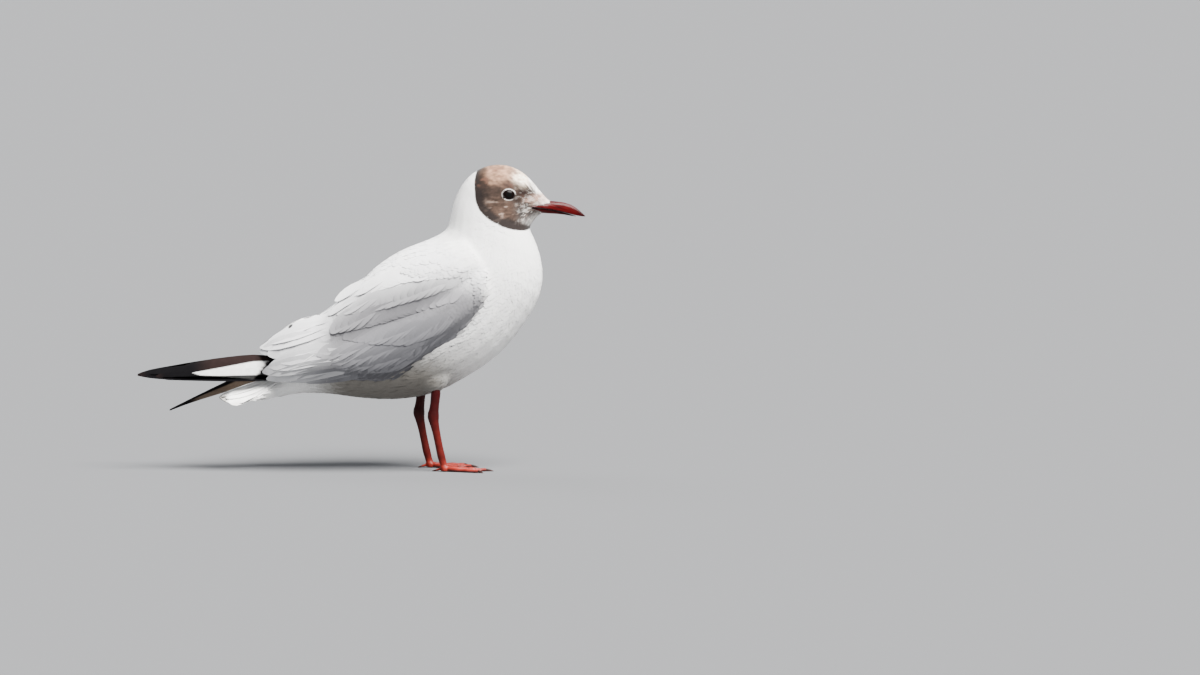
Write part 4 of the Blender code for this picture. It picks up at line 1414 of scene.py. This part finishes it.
def tract_lines(surface, tract, side, random):
    """Rows x feathers of points on the surface from each root to its tip."""
    share = (np.arange(tract.count) + 0.5) / tract.count
    share = np.clip(share + random.uniform(-0.12, 0.12, tract.count) / tract.count, 0, 1)
    root_x, root_z = along_guide(tract.roots, share)
    tip_x, tip_z = along_guide(tract.tips, share)
    tip_x = tip_x + random.uniform(-1.2, 1.2, tract.count)
    step = column(BROAD_VANE)[:, None]
    x = (root_x + (tip_x - root_x) * step) * MM
    z = (root_z + (tip_z - root_z) * step + 1.6 * np.sin(math.pi * step)) * MM
    line, normal, bake = surface.track(x, z, side)
    ahead = on_surface(np.gradient(line, axis=0), normal)
    profile = fine_rows(BROAD_VANE, tract_cells(tract)[0])
    line, normal, ahead = refined(line, profile), refined(normal, profile), refined(ahead, profile)
    normal = unit(normal)
    return profile, line, normal, on_surface(ahead, normal), bake


def tract_colour(tract, plumage, line, random, side):
    """A feather's grey, with the wing's painted light and shade, a paler fringe round its tip and a
    faint shaft.
    """
    base = wing_grey(line[len(line) // 2], plumage) * tract.shade
    base = base * random.normal(1, 0.012, (tract.count, 1))

    def colours(place, shares, acrosses):
        smooth = wing_grey(place.reshape(-1, 3), plumage).reshape(place.shape) * tract.shade
        edge = np.maximum(np.abs(acrosses) ** 4, smooth_step(shares, 0.86, 1.0))
        edge = edge * smooth_step(shares, 0.3, 0.7)
        shaft = np.exp(-((acrosses / 0.1) ** 2)) * 0.03
        gain = 1 + tract.fringe * (edge - 0.4) + shaft * (tract.shade > 1)
        found = np.clip((smooth * 0.6 + base[None, :, None, :] * 0.4) * gain[..., None], 0, 0.93)
        return marked(found, place, plumage) if side == "right" else found

    return colours


def lay_shaft(vanes, surface, plumage, sign):
    """Lays the pale shaft that shows on one secondary."""
    (root_x, root_z), (tip_x, tip_z), width = SHAFT
    profile = fine_rows(((0.0, 0.5), (0.25, 1.0), (0.7, 1.0), (1.0, 0.4)), 8)
    share = column(profile)
    x, z = root_x + (tip_x - root_x) * share, root_z + (tip_z - root_z) * share
    line, normal, bake = surface.from_side(x * MM, z * MM, sign)
    line, normal, ahead = single(line, normal)
    vanes.lay(
        line, normal, ahead, np.array([width * MM]), bake[:1],
        lambda p, s, a: np.broadcast_to(plumage.white, p.shape),
        profile, 3, np.full((len(share), 1), 0.3 * MM), camber=0.02, soften=0.02,
    )  # fmt: skip


def marked(colours, place, plumage):
    """Colours with the dark mark of one tertial."""
    x, z, length, height, turn = MARK
    x, z = place[..., 0] / MM - x, place[..., 2] / MM - z
    along, up = turned(x, z, math.radians(turn))
    dark = smooth_step(-np.hypot(along / length, up / height), -1.15, -0.85)[..., None]
    return colours * (1 - dark) + np.array(plumage.quill) * dark


def build_wing_coat():
    plumage = bpy.context.scene.gull_plumage
    surface = Surface(coat_form())
    finish = feather_material("wing_vanes", roughness=0.66, barb_depth=0.05)
    for side, sign in SIDES.items():
        random = np.random.default_rng(plumage.seed + 5)
        vanes = Vanes()

        def keep(middle, normal, sign=sign):
            outer = normal[:, 1] * sign > 0.2
            front = middle[:, 0] > -14 * MM
            return on_wing(middle, -2) & outer & front & (middle[:, 1] * sign > 10 * MM)

        roots, normals, bake = surface.scatter(
            keep, lambda p: coat_near(p)[:, 4] * MM * UNDER_SPACING, random
        )
        lengths = random.uniform(*UNDER_LENGTH, len(roots)) * MM
        line, normal, ahead = march(surface, roots, normals, coat_aim, lengths, SMALL_VANE)
        share = column(SMALL_VANE)[:, None]
        front = smooth_step(roots[:, 0], 62 * MM, 88 * MM)[None, :]
        heights = (-0.5 * (1 - share) + share * (-0.3 + 0.36 * front)) * MM
        base = wing_grey(line[2], plumage) * random.normal(1, 0.01, (len(roots), 1))
        vanes.lay(
            line, normal, ahead, np.full(len(roots), UNDER_WIDTH * MM), bake,
            lambda p, s, a, c=base: c[None, :, None, :] * (0.99 + 0.02 * s)[..., None],
            SMALL_VANE, 3, heights, ragged=0.06, random=random,
        )  # fmt: skip
        for tract in TRACTS:
            profile, line, normal, ahead, spot = tract_lines(surface, tract, sign, random)
            share = column(profile)[:, None]
            heights = (-0.55 * (1 - share) ** 1.5 + tract.lift * share**0.7) * MM
            widths = tract.width * MM * random.uniform(0.94, 1.06, tract.count)
            widths = widths * (1 - 0.45 * smooth_step(line[-1, :, 0], 45 * MM, 82 * MM))
            colours = tract_colour(tract, plumage, line, random, side)
            vanes.lay(
                line, normal, ahead, widths, spot, colours, profile, tract_cells(tract)[1],
                heights, camber=0.02, soften=0.03, roll=-sign * SHINGLE,
            )  # fmt: skip
        if side == "right":
            lay_shaft(vanes, surface, plumage, sign)
        piece = vanes.build(f"feathers_wing_{side}", finish)
        nodes = [f"wing_{side}_{panel}" for panel in PANELS]
        finish_piece(piece, "grey_wing", *nodes)


# ---------------------------------------------------------------- flight feathers

BLADE_PROFILE = (
    (0.0, 0.8), (0.12, 0.9), (0.25, 0.97), (0.4, 1.0), (0.55, 0.98), (0.68, 0.92), (0.79, 0.82),
    (0.87, 0.68), (0.93, 0.5), (0.97, 0.32), (1.0, 0.08),
)  # fmt: skip
BLADE_START, BLADE_END = 0.004, 0.997  # shares of a solid's length, just inside its ends
PRIMARY_THICK = 0.3 * MM
BLADE_CELLS, TAIL_CELLS = (140, 37), (40, 31)  # along and across the thin sheets
# A primary: where its tip is along the blade, the tip's and root's height across it as shares,
# its width in mm, and how far out it lies.
Primary = namedtuple("Primary", "name reach tip_share root_share width out")
PRIMARIES = (
    Primary("outer", 0.885, 0.28, 0.24, 12, 0.05),
    Primary("second", 1.0, 0.5, 0.42, 13, 0.12),
    Primary("third", 0.72, 0.78, 0.64, 11, 0.2),
    Primary("fourth", 0.54, 0.84, 0.76, 9, 0.28),
    Primary("inner", 0.37, 0.88, 0.86, 7, 0.36),
)


def fine_rows(profile, count):
    """A profile with more rows, closer together near the tip."""
    share = 1 - (1 - np.linspace(0, 1, count)) ** 1.3
    return list(zip(share, np.interp(share, *zip(*profile))))


# The white wedge's lower and upper borders: shares of the blade's length and of its height.
WEDGE_LOW = ((0.23, 0.06), (0.41, 0.165), (0.60, 0.29), (0.645, 0.43))
WEDGE_HIGH = ((0.14, 0.81), (0.285, 0.73), (0.60, 0.48), (0.645, 0.43))
WEDGE_FRONT, FRONT_TOP, FRONT_SLOPE = 0.167, 0.805, 0.118  # its front end, and how it slants


def primary_colour(plumage, blade, span, high_x):
    """Both faces of the primaries: a white wedge and brown upper edge outside, buff inside."""
    knots = np.linspace(high_x - 0.4 * MM, high_x - span + 0.4 * MM, 90)
    lows, highs = blade.section(knots, 2)

    def colours(place, shares, acrosses):
        x, z = place[..., 0], place[..., 2]
        base = np.interp(-x, -knots, lows[:, 2])
        top = np.interp(-x, -knots, highs[:, 2])
        along, height = (high_x - x) / span, (z - base) / np.maximum(top - base, 1e-4)
        low, high = [np.interp(along, *zip(*border)) for border in (WEDGE_LOW, WEDGE_HIGH)]
        wedge = smooth_step(height - low, -0.02, 0.02) * smooth_step(high - height, -0.02, 0.02)
        behind = along - WEDGE_FRONT - (FRONT_TOP - height) * FRONT_SLOPE
        wedge *= smooth_step(behind, -0.007, 0.007) * falling(along, 0.64, 0.65)
        outer = np.broadcast_to(np.array(plumage.quill), place.shape).copy()
        brown = smooth_step(height, 0.35, 0.6) * falling(along, 0.5, 0.66)
        brown *= smooth_step(behind, -0.004, 0.004)
        tip = smooth_step(shares, 0.93, 1.0) * 0.6
        for colour, share in ((plumage.quill_brown, np.maximum(brown, tip)), (plumage.white, wedge)):
            outer = outer * (1 - share[..., None]) + np.array(colour) * share[..., None]
        inner = np.broadcast_to(np.array(plumage.under_quill), place.shape).copy()
        dark = np.maximum(smooth_step(height, 0.55, 0.72), smooth_step(along, 0.72, 0.85))
        inner = inner * (1 - dark[..., None]) + np.array(plumage.quill) * dark[..., None]
        shaft = np.exp(-((acrosses / 0.07) ** 2)) * (np.abs(acrosses) < 0.9)
        return np.stack([outer * (1 - 0.12 * shaft[..., None]), inner])

    return colours


def build_flight():
    """Each blade is one thin sheet with the primaries' own vanes lying close on it."""
    plumage = bpy.context.scene.gull_plumage
    form_bake = Surface(coat_form())
    finish = feather_material("quill_vanes", roughness=0.5, barb_depth=0.14, gloss=0.06, sheen=0.0)
    for side, sign in SIDES.items():
        node = f"wing_{side}_primaries"
        copy = copied_node(node)
        blade = Surface(copy)
        bpy.data.objects.remove(copy, do_unlink=True)
        low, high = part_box(node)
        span = high.x - low.x
        colours = primary_colour(plumage, blade, span, high.x)
        vanes = Vanes()
        share = 1 - (1 - np.linspace(BLADE_START, BLADE_END, BLADE_CELLS[0])) ** 1.15
        across = np.linspace(0, 1, BLADE_CELLS[1])
        faces = blade.sheet(high.x - span * share, across, 2, (0, sign, 0))
        (place, shown), (under, shown_under) = faces
        shares, acrosses = spread(share, across * 2 - 1, place.shape[:3])
        _, _, spot = form_bake.nearest(place[0, :, len(across) // 2])
        vanes.close(
            place, under, shown, shown_under, colours(place, shares * 0, acrosses),
            np.stack([acrosses * 2, shares], -1), bake_spots(spot, shares, acrosses),
        )  # fmt: skip
        for feather in PRIMARIES:
            profile = fine_rows(BLADE_PROFILE, 60)
            share = column(profile)
            x = high.x - span * (BLADE_START + (feather.reach - 2 * BLADE_START) * share)
            lows, highs = blade.section(x, 2)
            lows, highs = lows[:, 2], highs[:, 2]
            level = feather.root_share + (feather.tip_share - feather.root_share) * share
            z = lows + (highs - lows) * level
            room = 2 * np.minimum(highs - z, z - lows) + 0.4 * MM
            width = column(profile, 1) * feather.width * MM
            width = np.minimum(width, np.maximum(room, 0.8 * MM))
            place, normal, _ = blade.from_side(x, z, sign)
            normal = unit(normal * 0.4 + np.array([0, sign, 0.0]) * 0.6)
            line, normal, ahead = single(place, normal)
            vanes.lay(
                line, normal, ahead, np.array([feather.width * MM]), spot, colours,
                list(zip(share, width / (feather.width * MM))), 19,
                np.full((len(share), 1), feather.out * MM), camber=0.02, soften=0.08,
                thickness=PRIMARY_THICK, roll=-sign * 0.1 * MM,
            )  # fmt: skip
        finish_piece(vanes.build(f"primaries_{side}", finish), "black_quill", node)


# ---------------------------------------------------------------- tail

RECTRICES = 3  # that show on each side
RECTRIX_WIDTH = 15.0 * MM
RECTRIX_THICK = 0.08 * MM


def tail_colour(plumage, end):
    """White, with painted shade greying the tail's end and edges, and painted shade on the under face.
    """

    def colours(place, shares, acrosses):
        # Painted shade: grey at the tail's end and along its side edges.
        rim = smooth_step(end + 11 * MM - place[..., 0], 0, 6 * MM) * 0.85
        rim = np.maximum(rim, smooth_step(np.abs(place[..., 1]), 19 * MM, 23 * MM) * 0.4)[..., None]
        outer = np.array(plumage.white) * (1 - rim) + np.array(srgb(132, 128, 122)) * rim
        # The under face is the same white in painted shade.
        return np.stack([outer, outer * 0.96])

    return colours


def build_tail():
    """White tail feathers, lying close on a thin sheet of the fan's shape."""
    plumage = bpy.context.scene.gull_plumage
    form = Surface(coat_form())
    copy = copied_node("tail")
    fan = Surface(copy)
    bpy.data.objects.remove(copy, do_unlink=True)
    low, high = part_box("tail")
    colours = tail_colour(plumage, low.x)
    vanes = Vanes()
    share = np.linspace(BLADE_START, BLADE_END, TAIL_CELLS[0])
    across = np.linspace(0, 1, TAIL_CELLS[1])
    faces = fan.sheet(high.x + (low.x - high.x) * share, across, 1, (0, 0, 1))
    (place, shown), (under, shown_under) = [(a[:, :, ::-1], b[:, :, ::-1]) for a, b in faces]
    shares, acrosses = spread(share, across * 2 - 1, place.shape[:3])
    rounding = 8 * MM * acrosses**2 * smooth_step(shares, 0.5, 1.0)
    for face in (place, under):
        face[..., 0] += rounding
    _, _, spot = form.nearest(place[0, :, len(across) // 2])
    vanes.close(
        place, under, shown, shown_under, colours(place, shares, acrosses),
        np.stack([acrosses * 3, shares], -1), bake_spots(spot, shares, acrosses),
    )  # fmt: skip
    profile = fine_rows(BLADE_PROFILE, 16)
    share = column(profile)
    for number in range(2 * RECTRICES):
        place = (number - RECTRICES + 0.5) / (RECTRICES - 0.5)
        rank = abs(place)
        tip_x = low.x + (0.5 + 6 * rank**2) * MM
        x = high.x - 6 * MM + (tip_x - high.x + 6 * MM) * share
        y = place * (8 + 7 * share) * MM
        line = [
            fan.tree.ray_cast(Vector((here, aside, 0.2)), Vector((0, 0, -1)))[0]
            or fan.tree.find_nearest(Vector((here, aside, high.z - 0.02)))[0]
            for here, aside in zip(x, y)
        ]
        line, normal, _ = fan.nearest(np.array(line))
        normal = unit(normal * 0.5 + np.array([0, place * 0.4, 0.8]) * 0.5)
        line, normal, ahead = single(line, normal)
        _, _, spot = form.nearest(line[0])
        vanes.lay(
            line, normal, ahead, np.array([RECTRIX_WIDTH]), spot, colours, profile, 9,
            np.full((len(share), 1), (0.07 - 0.05 * rank) * MM), camber=0.01, soften=0.04,
            thickness=RECTRIX_THICK, roll=(-1 if place > 0 else 1) * 0.012 * MM,
        )  # fmt: skip
    finish = feather_material("tail_vanes", 0.6, 0.05)
    finish_piece(vanes.build("tail_feathers", finish), "white_down", "tail")


# Where a rump feather's root and tip are along the back, and how far its tip lies under the
# wings' upper edge, mm.
RUMP_ROWS = ((-30, -80, 6.5), (-22, -70, 6.0), (-14, -60, 5.6), (-6, -50, 5.2), (2, -40, 5.0))
RUMP_WIDTH = 15 * MM


def lay_rump(vanes, surface, plumage):
    """Broad feathers along the middle of the back that close the gap between the folded wings."""
    profile = fine_rows(BROAD_VANE, 20)
    share = column(profile)
    for root, tip, sink in RUMP_ROWS:
        x = root + (tip - root) * share
        falls = [surface.tree.ray_cast(Vector((at * MM, 0, 0.25)), Vector((0, 0, -1)))[0] for at in x]
        low = np.array([spot.z / MM if spot else 0 for spot in falls])
        rise = smooth_step(share, 0.05, 0.6)
        z = (low - 1.6) * (1 - rise) + np.maximum(low - 0.6, wing_top(x) - sink) * rise
        line = np.stack([x, x * 0, z], 1)[:, None, :] * MM
        ahead = unit(np.gradient(line, axis=0))
        normal = np.cross(ahead, np.array([0.0, 1.0, 0.0]))
        normal *= np.sign(normal[:, :, 2:])
        _, _, bake = surface.nearest(line[0])
        vanes.lay(
            line, normal, ahead, np.array([RUMP_WIDTH]), bake,
            lambda p, s, a: np.broadcast_to(plumage.mantle, p.shape),
            profile, 9, np.zeros((len(share), 1)), camber=0.06,
        )  # fmt: skip


COVERT_GAP, COVERT_LENGTH, COVERT_WIDTH = 2.6, (20, 26), (5.0, 7.0)  # mm


def build_tail_coverts():
    """Long soft feathers that cover the tail's root above and below."""
    plumage = bpy.context.scene.gull_plumage
    random = np.random.default_rng(plumage.seed + 13)
    surface = Surface(coat_form())

    def keep(middle, normal):
        x = middle[:, 0] / MM
        above = (normal[:, 2] > 0.1) & (x > -78) & (x < -52)
        below = (normal[:, 2] < 0.1) & (x > -84) & (x < -36)
        inside = np.abs(middle[:, 1]) < np.where(normal[:, 2] > 0.1, 12, 19) * MM
        return (above | below) & inside & (middle[:, 2] < 84 * MM)

    roots, normals, bake = surface.scatter(keep, lambda p: np.full(len(p), COVERT_GAP * MM), random)
    lengths = random.uniform(*COVERT_LENGTH, len(roots)) * MM
    line, normal, ahead = march(surface, roots, normals, coat_aim, lengths, SMALL_VANE)
    share = column(SMALL_VANE)[:, None]
    heights = (-1.2 * (1 - share) + 0.1 * share) * MM
    heights = heights + random.uniform(-0.03, 0.03, (1, len(roots))) * MM

    def colours(place, shares, acrosses):
        found = body_colour(place.reshape(-1, 3), plumage).reshape(place.shape)
        return found * (0.97 + 0.03 * shares)[..., None]

    vanes = Vanes()
    vanes.lay(
        line, normal, ahead, random.uniform(*COVERT_WIDTH, len(roots)) * MM, bake, colours,
        SMALL_VANE, 3, heights, soften=0.04, ragged=0.05, random=random,
    )  # fmt: skip
    lay_rump(vanes, surface, plumage)
    finish_piece(vanes.build("feathers_tail_coverts", feather_material("covert_vanes")), "white_down")


# ---------------------------------------------------------------- eyes, bill and claws


PUPIL, IRIS = (0.42, 0.47), (0.66, 0.76)  # where each ends, as shares of the ball's radius


def build_eyes():
    """Each eye is a flattened ball behind its lids, set in the plane of the coat round it."""
    bare = bpy.context.scene.gull_bare_parts
    finish, form = eye_material(), Surface(coat_form())
    for side in SIDES:
        deselect()
        bpy.ops.mesh.primitive_uv_sphere_add(segments=48, ring_count=32, radius=1)
        ball = bpy.context.object
        points = vertex_points(ball.data)
        reach = np.hypot(points[:, 0], points[:, 1])
        made = eye_place(
            points[:, 0] * EYE_BALL[0], points[:, 1] * EYE_BALL[1],
            lid_plane(form, side), side, points[:, 2] * EYE_BALL[2] - EYE_SINK,
        )  # fmt: skip
        move_points(ball.data, made)
        colours = mixed((0.003, 0.003, 0.003), bare.eye, smooth_step(reach, *PUPIL))
        colours = mixed(colours, (0.004, 0.003, 0.003), smooth_step(reach, *IRIS))
        paint_points(ball.data, colours)
        ball.data.materials.append(finish)
        faced_out(ball)
        ball.name = ball.data.name = f"eyeball_{side}"
        unwrapped(ball)
        finish_piece(ball, "eye", f"eye_{side}")


CUTTING_EDGE = (
    (140.5, 221.6), (146, 221.1), (152, 220.3), (158, 219.3), (164, 218.2), (170, 216.8),
    (176, 215.1), (181, 213.8), (188, 212.9),
)  # fmt: skip


BILL_CELL, BILL_ROUNDS, BILL_GROWTH = 0.36 * MM, 9, 0.14 * MM
EDGE_RISE, GROOVE_DEPTH = 0.16, 0.1  # of the cutting edges, and of the groove and nostril, mm


def build_bill():
    """Both halves of the bill, with a groove, and painted shade in the nostril slit and along the
    cutting edge.
    """
    bare = bpy.context.scene.gull_bare_parts
    finish = horn_material("bill_horn", roughness=0.3)
    for half in ("upper", "lower"):
        node = f"bill_{half}"
        form = melted(f"{node}_horn", [node], BILL_CELL, BILL_ROUNDS, growth=BILL_GROWTH)
        mesh = form.data
        points, normals = vertex_points(mesh), vertex_normals(mesh)
        x, z = side_view(points)
        edge = np.interp(x, *zip(*CUTTING_EDGE))
        above = np.abs(z - edge)
        lift = EDGE_RISE * np.exp(-((above / 0.5) ** 2)) * falling(x, 174, 180)
        if half == "upper":
            over = z - edge - 3.1 + 0.16 * (x - 166)
            slit = np.exp(-(((x - 166) / 3.2) ** 4) - (over / 0.42) ** 2)
            lift -= GROOVE_DEPTH * slit
            groove = np.exp(-(((z - edge - 2.2) / 0.8) ** 2)) * smooth_step(x, 150, 156)
            lift -= GROOVE_DEPTH * groove * falling(x, 168, 176)
        points += normals * (lift * MM)[:, None]
        move_points(mesh, points)
        # Painted shade of the gap between the halves, along the cutting edge.
        dark = np.exp(-((above / 0.7) ** 2)) * 0.95
        dark = np.maximum(dark, smooth_step(x, 176, 187) * 0.8)
        if half == "upper":
            # Painted shade in the nostril slit.
            dark = np.maximum(dark, slit * 0.9)
        else:
            # Painted shade on the lower half's top, in the gap under the upper half.
            dark = np.maximum(dark, smooth_step(z - edge, -1.5, -0.9))
            dark = np.maximum(dark, smooth_step(x, 164, 176) * 0.6)
        streak = patches(points, (9, 2.5, 0.9), 21) * 0.16
        colour = mixed(bare.bill, bare.bill_dark, np.clip(dark + streak * 0.5, 0, 1))
        colour = colour * (1 + streak)[:, None]
        paint_points(mesh, np.clip(colour, 0, 1))
        mesh.materials.clear()
        mesh.materials.append(finish)
        unwrapped(form)
        finish_piece(form, "bill", node)


def build_claws():
    finish = horn_material("claw_horn", roughness=0.38, grain=1500.0)
    for side in SIDES:
        names = [f"claw_{toe}_{side}" for toe in ("inner", "middle", "outer", "hind")]
        low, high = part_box(f"tarsus_{side}")
        copies = [copied_node(name) for name in names]
        for copy in copies:
            points = vertex_points(copy.data)
            away = unit((points.mean(axis=0) - np.array((low + high) / 2)) * (1, 1, 0))
            reach = points @ away
            base = smooth_step(reach.min() + 1.5 * MM - reach, 0, 1.5 * MM)
            points -= away * (0.9 * MM * base)[:, None]
            move_points(copy.data, points)
        piece = joined(f"claws_{side}", copies)
        apply_modifier(piece, "SUBSURF", levels=2, render_levels=2)
        points = vertex_points(piece.data)
        dark = smooth_step(points[:, 2], 0.4 * MM, 2.4 * MM)
        paint_points(piece.data, mixed(srgb(60, 34, 30), srgb(34, 22, 20), dark))
        piece.data.materials.append(finish)
        bpy.ops.object.shade_smooth()
        unwrapped(piece)
        finish_piece(piece, "claw", *names)


# ---------------------------------------------------------------- stage

AIM = (0.2003, 0.0, 0.1113)
SENSOR = 36
SKY_COLOUR, SKY_POWER = (0.80, 0.82, 0.86, 1), 0.46
LIGHTS = (  # name, power, where it shines from, colour
    ("key", 21.0, (0.9, -0.85, 1.9), (1.0, 0.985, 0.96)),
    ("back", 1.6, (-0.9, 1.2, 1.4), (0.94, 0.96, 1.0)),
)
SOFTNESS = math.radians(40)


def add_light(name, power, way, colour):
    """A broad soft light from far off, which shines from that way on everything alike."""
    deselect()
    bpy.ops.object.light_add(type="SUN", location=way)
    lamp = bpy.context.object
    lamp.name = name
    lamp.data.angle = SOFTNESS
    lamp.data.energy = power
    lamp.data.color = colour
    lamp.rotation_euler = Vector(way).to_track_quat("Z", "Y").to_euler()


def build_stage():
    stage = bpy.context.scene.gull_stage
    deselect()
    bpy.ops.mesh.primitive_circle_add(vertices=96, radius=60, fill_type="NGON", location=(0, 0, 0))
    floor = bpy.context.object
    floor.name = "floor"
    made, nodes, _ = new_material("pale_floor")
    colour = (*stage.floor, 1)
    set_inputs(nodes["Principled BSDF"], Base_Color=colour, Roughness=0.9, Specular_IOR_Level=0.1)
    floor.data.materials.append(made)
    world = bpy.data.worlds.new("soft_sky")
    bpy.context.scene.world = world
    world.use_nodes = True
    sky = world.node_tree.nodes["Background"]
    set_inputs(sky, Color=SKY_COLOUR, Strength=SKY_POWER)
    for name, power, way, colour in LIGHTS:
        add_light(name, power, way, colour)
    camera_data = bpy.data.cameras.new("camera")
    camera = bpy.data.objects.new("camera", camera_data)
    bpy.context.scene.collection.objects.link(camera)
    camera_data.sensor_width = SENSOR
    camera_data.lens = camera_data.sensor_width * stage.distance / stage.width
    camera_data.clip_end = 200
    back = Vector((0, -math.cos(stage.rise), math.sin(stage.rise)))
    camera.location = Vector(AIM) + back * stage.distance
    camera.rotation_euler = (-back).to_track_quat("-Z", "Y").to_euler()
    bpy.context.scene.camera = camera


# ---------------------------------------------------------------- operators and panel


class GULL_OT_skin(bpy.types.Operator):
    """Builds the one skin of body, legs and lids"""

    bl_idname = "gull.skin"
    bl_label = "Skin"

    def execute(self, context):
        build_skin()
        return {"FINISHED"}


class GULL_OT_coat(bpy.types.Operator):
    """Lays the feathers of head, neck, breast, belly and back"""

    bl_idname = "gull.coat"
    bl_label = "Body feathers"

    def execute(self, context):
        build_coat()
        return {"FINISHED"}


class GULL_OT_wings(bpy.types.Operator):
    """Lays the scapulars, coverts, tertials and secondaries of both wings"""

    bl_idname = "gull.wings"
    bl_label = "Wing feathers"

    def execute(self, context):
        build_wing_coat()
        return {"FINISHED"}


class GULL_OT_flight(bpy.types.Operator):
    """Builds the primaries of both wings"""

    bl_idname = "gull.flight"
    bl_label = "Primaries"

    def execute(self, context):
        build_flight()
        return {"FINISHED"}


class GULL_OT_tail(bpy.types.Operator):
    """Builds the tail feathers and the coverts over their roots"""

    bl_idname = "gull.tail"
    bl_label = "Tail"

    def execute(self, context):
        build_tail()
        build_tail_coverts()
        return {"FINISHED"}


class GULL_OT_eyes(bpy.types.Operator):
    """Builds both eyes"""

    bl_idname = "gull.eyes"
    bl_label = "Eyes"

    def execute(self, context):
        build_eyes()
        return {"FINISHED"}


class GULL_OT_bill(bpy.types.Operator):
    """Builds both halves of the bill"""

    bl_idname = "gull.bill"
    bl_label = "Bill"

    def execute(self, context):
        build_bill()
        return {"FINISHED"}


class GULL_OT_claws(bpy.types.Operator):
    """Builds the claws of both feet"""

    bl_idname = "gull.claws"
    bl_label = "Claws"

    def execute(self, context):
        build_claws()
        return {"FINISHED"}


class GULL_OT_stage(bpy.types.Operator):
    """Sets the floor, the soft light and the camera"""

    bl_idname = "gull.stage"
    bl_label = "Stage"

    def execute(self, context):
        build_stage()
        return {"FINISHED"}


class GULL_PT_panel(bpy.types.Panel):
    """Lists the gull's settings and the steps that build it"""

    bl_label = "Black-headed gull"
    bl_idname = "GULL_PT_panel"
    bl_space_type = "VIEW_3D"
    bl_region_type = "UI"
    bl_category = "Gull"

    def draw(self, context):
        scene = context.scene
        for group in (scene.gull_plumage, scene.gull_bare_parts, scene.gull_stage):
            box = self.layout.box()
            for name in group.__annotations__:
                box.prop(group, name)
        for step in OPERATORS:
            self.layout.operator(step.bl_idname)


OPERATORS = (
    GULL_OT_skin,
    GULL_OT_coat,
    GULL_OT_wings,
    GULL_OT_flight,
    GULL_OT_tail,
    GULL_OT_eyes,
    GULL_OT_bill,
    GULL_OT_claws,
    GULL_OT_stage,
)
GROUPS = (GullPlumage, GullBareParts, GullStage)
POINTERS = {"gull_plumage": GullPlumage, "gull_bare_parts": GullBareParts, "gull_stage": GullStage}


def register():
    for item in (*GROUPS, *OPERATORS, GULL_PT_panel):
        bpy.utils.register_class(item)
    for name, group in POINTERS.items():
        setattr(bpy.types.Scene, name, PointerProperty(type=group))


def unregister():
    for name in POINTERS:
        delattr(bpy.types.Scene, name)
    for item in reversed((*GROUPS, *OPERATORS, GULL_PT_panel)):
        bpy.utils.unregister_class(item)


def main():
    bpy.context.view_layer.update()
    register()
    for step in (
        bpy.ops.gull.skin,
        bpy.ops.gull.coat,
        bpy.ops.gull.wings,
        bpy.ops.gull.flight,
        bpy.ops.gull.tail,
        bpy.ops.gull.eyes,
        bpy.ops.gull.bill,
        bpy.ops.gull.claws,
        bpy.ops.gull.stage,
    ):
        step()
    drop_old("coat_form")


if __name__ == "__main__":
    main()
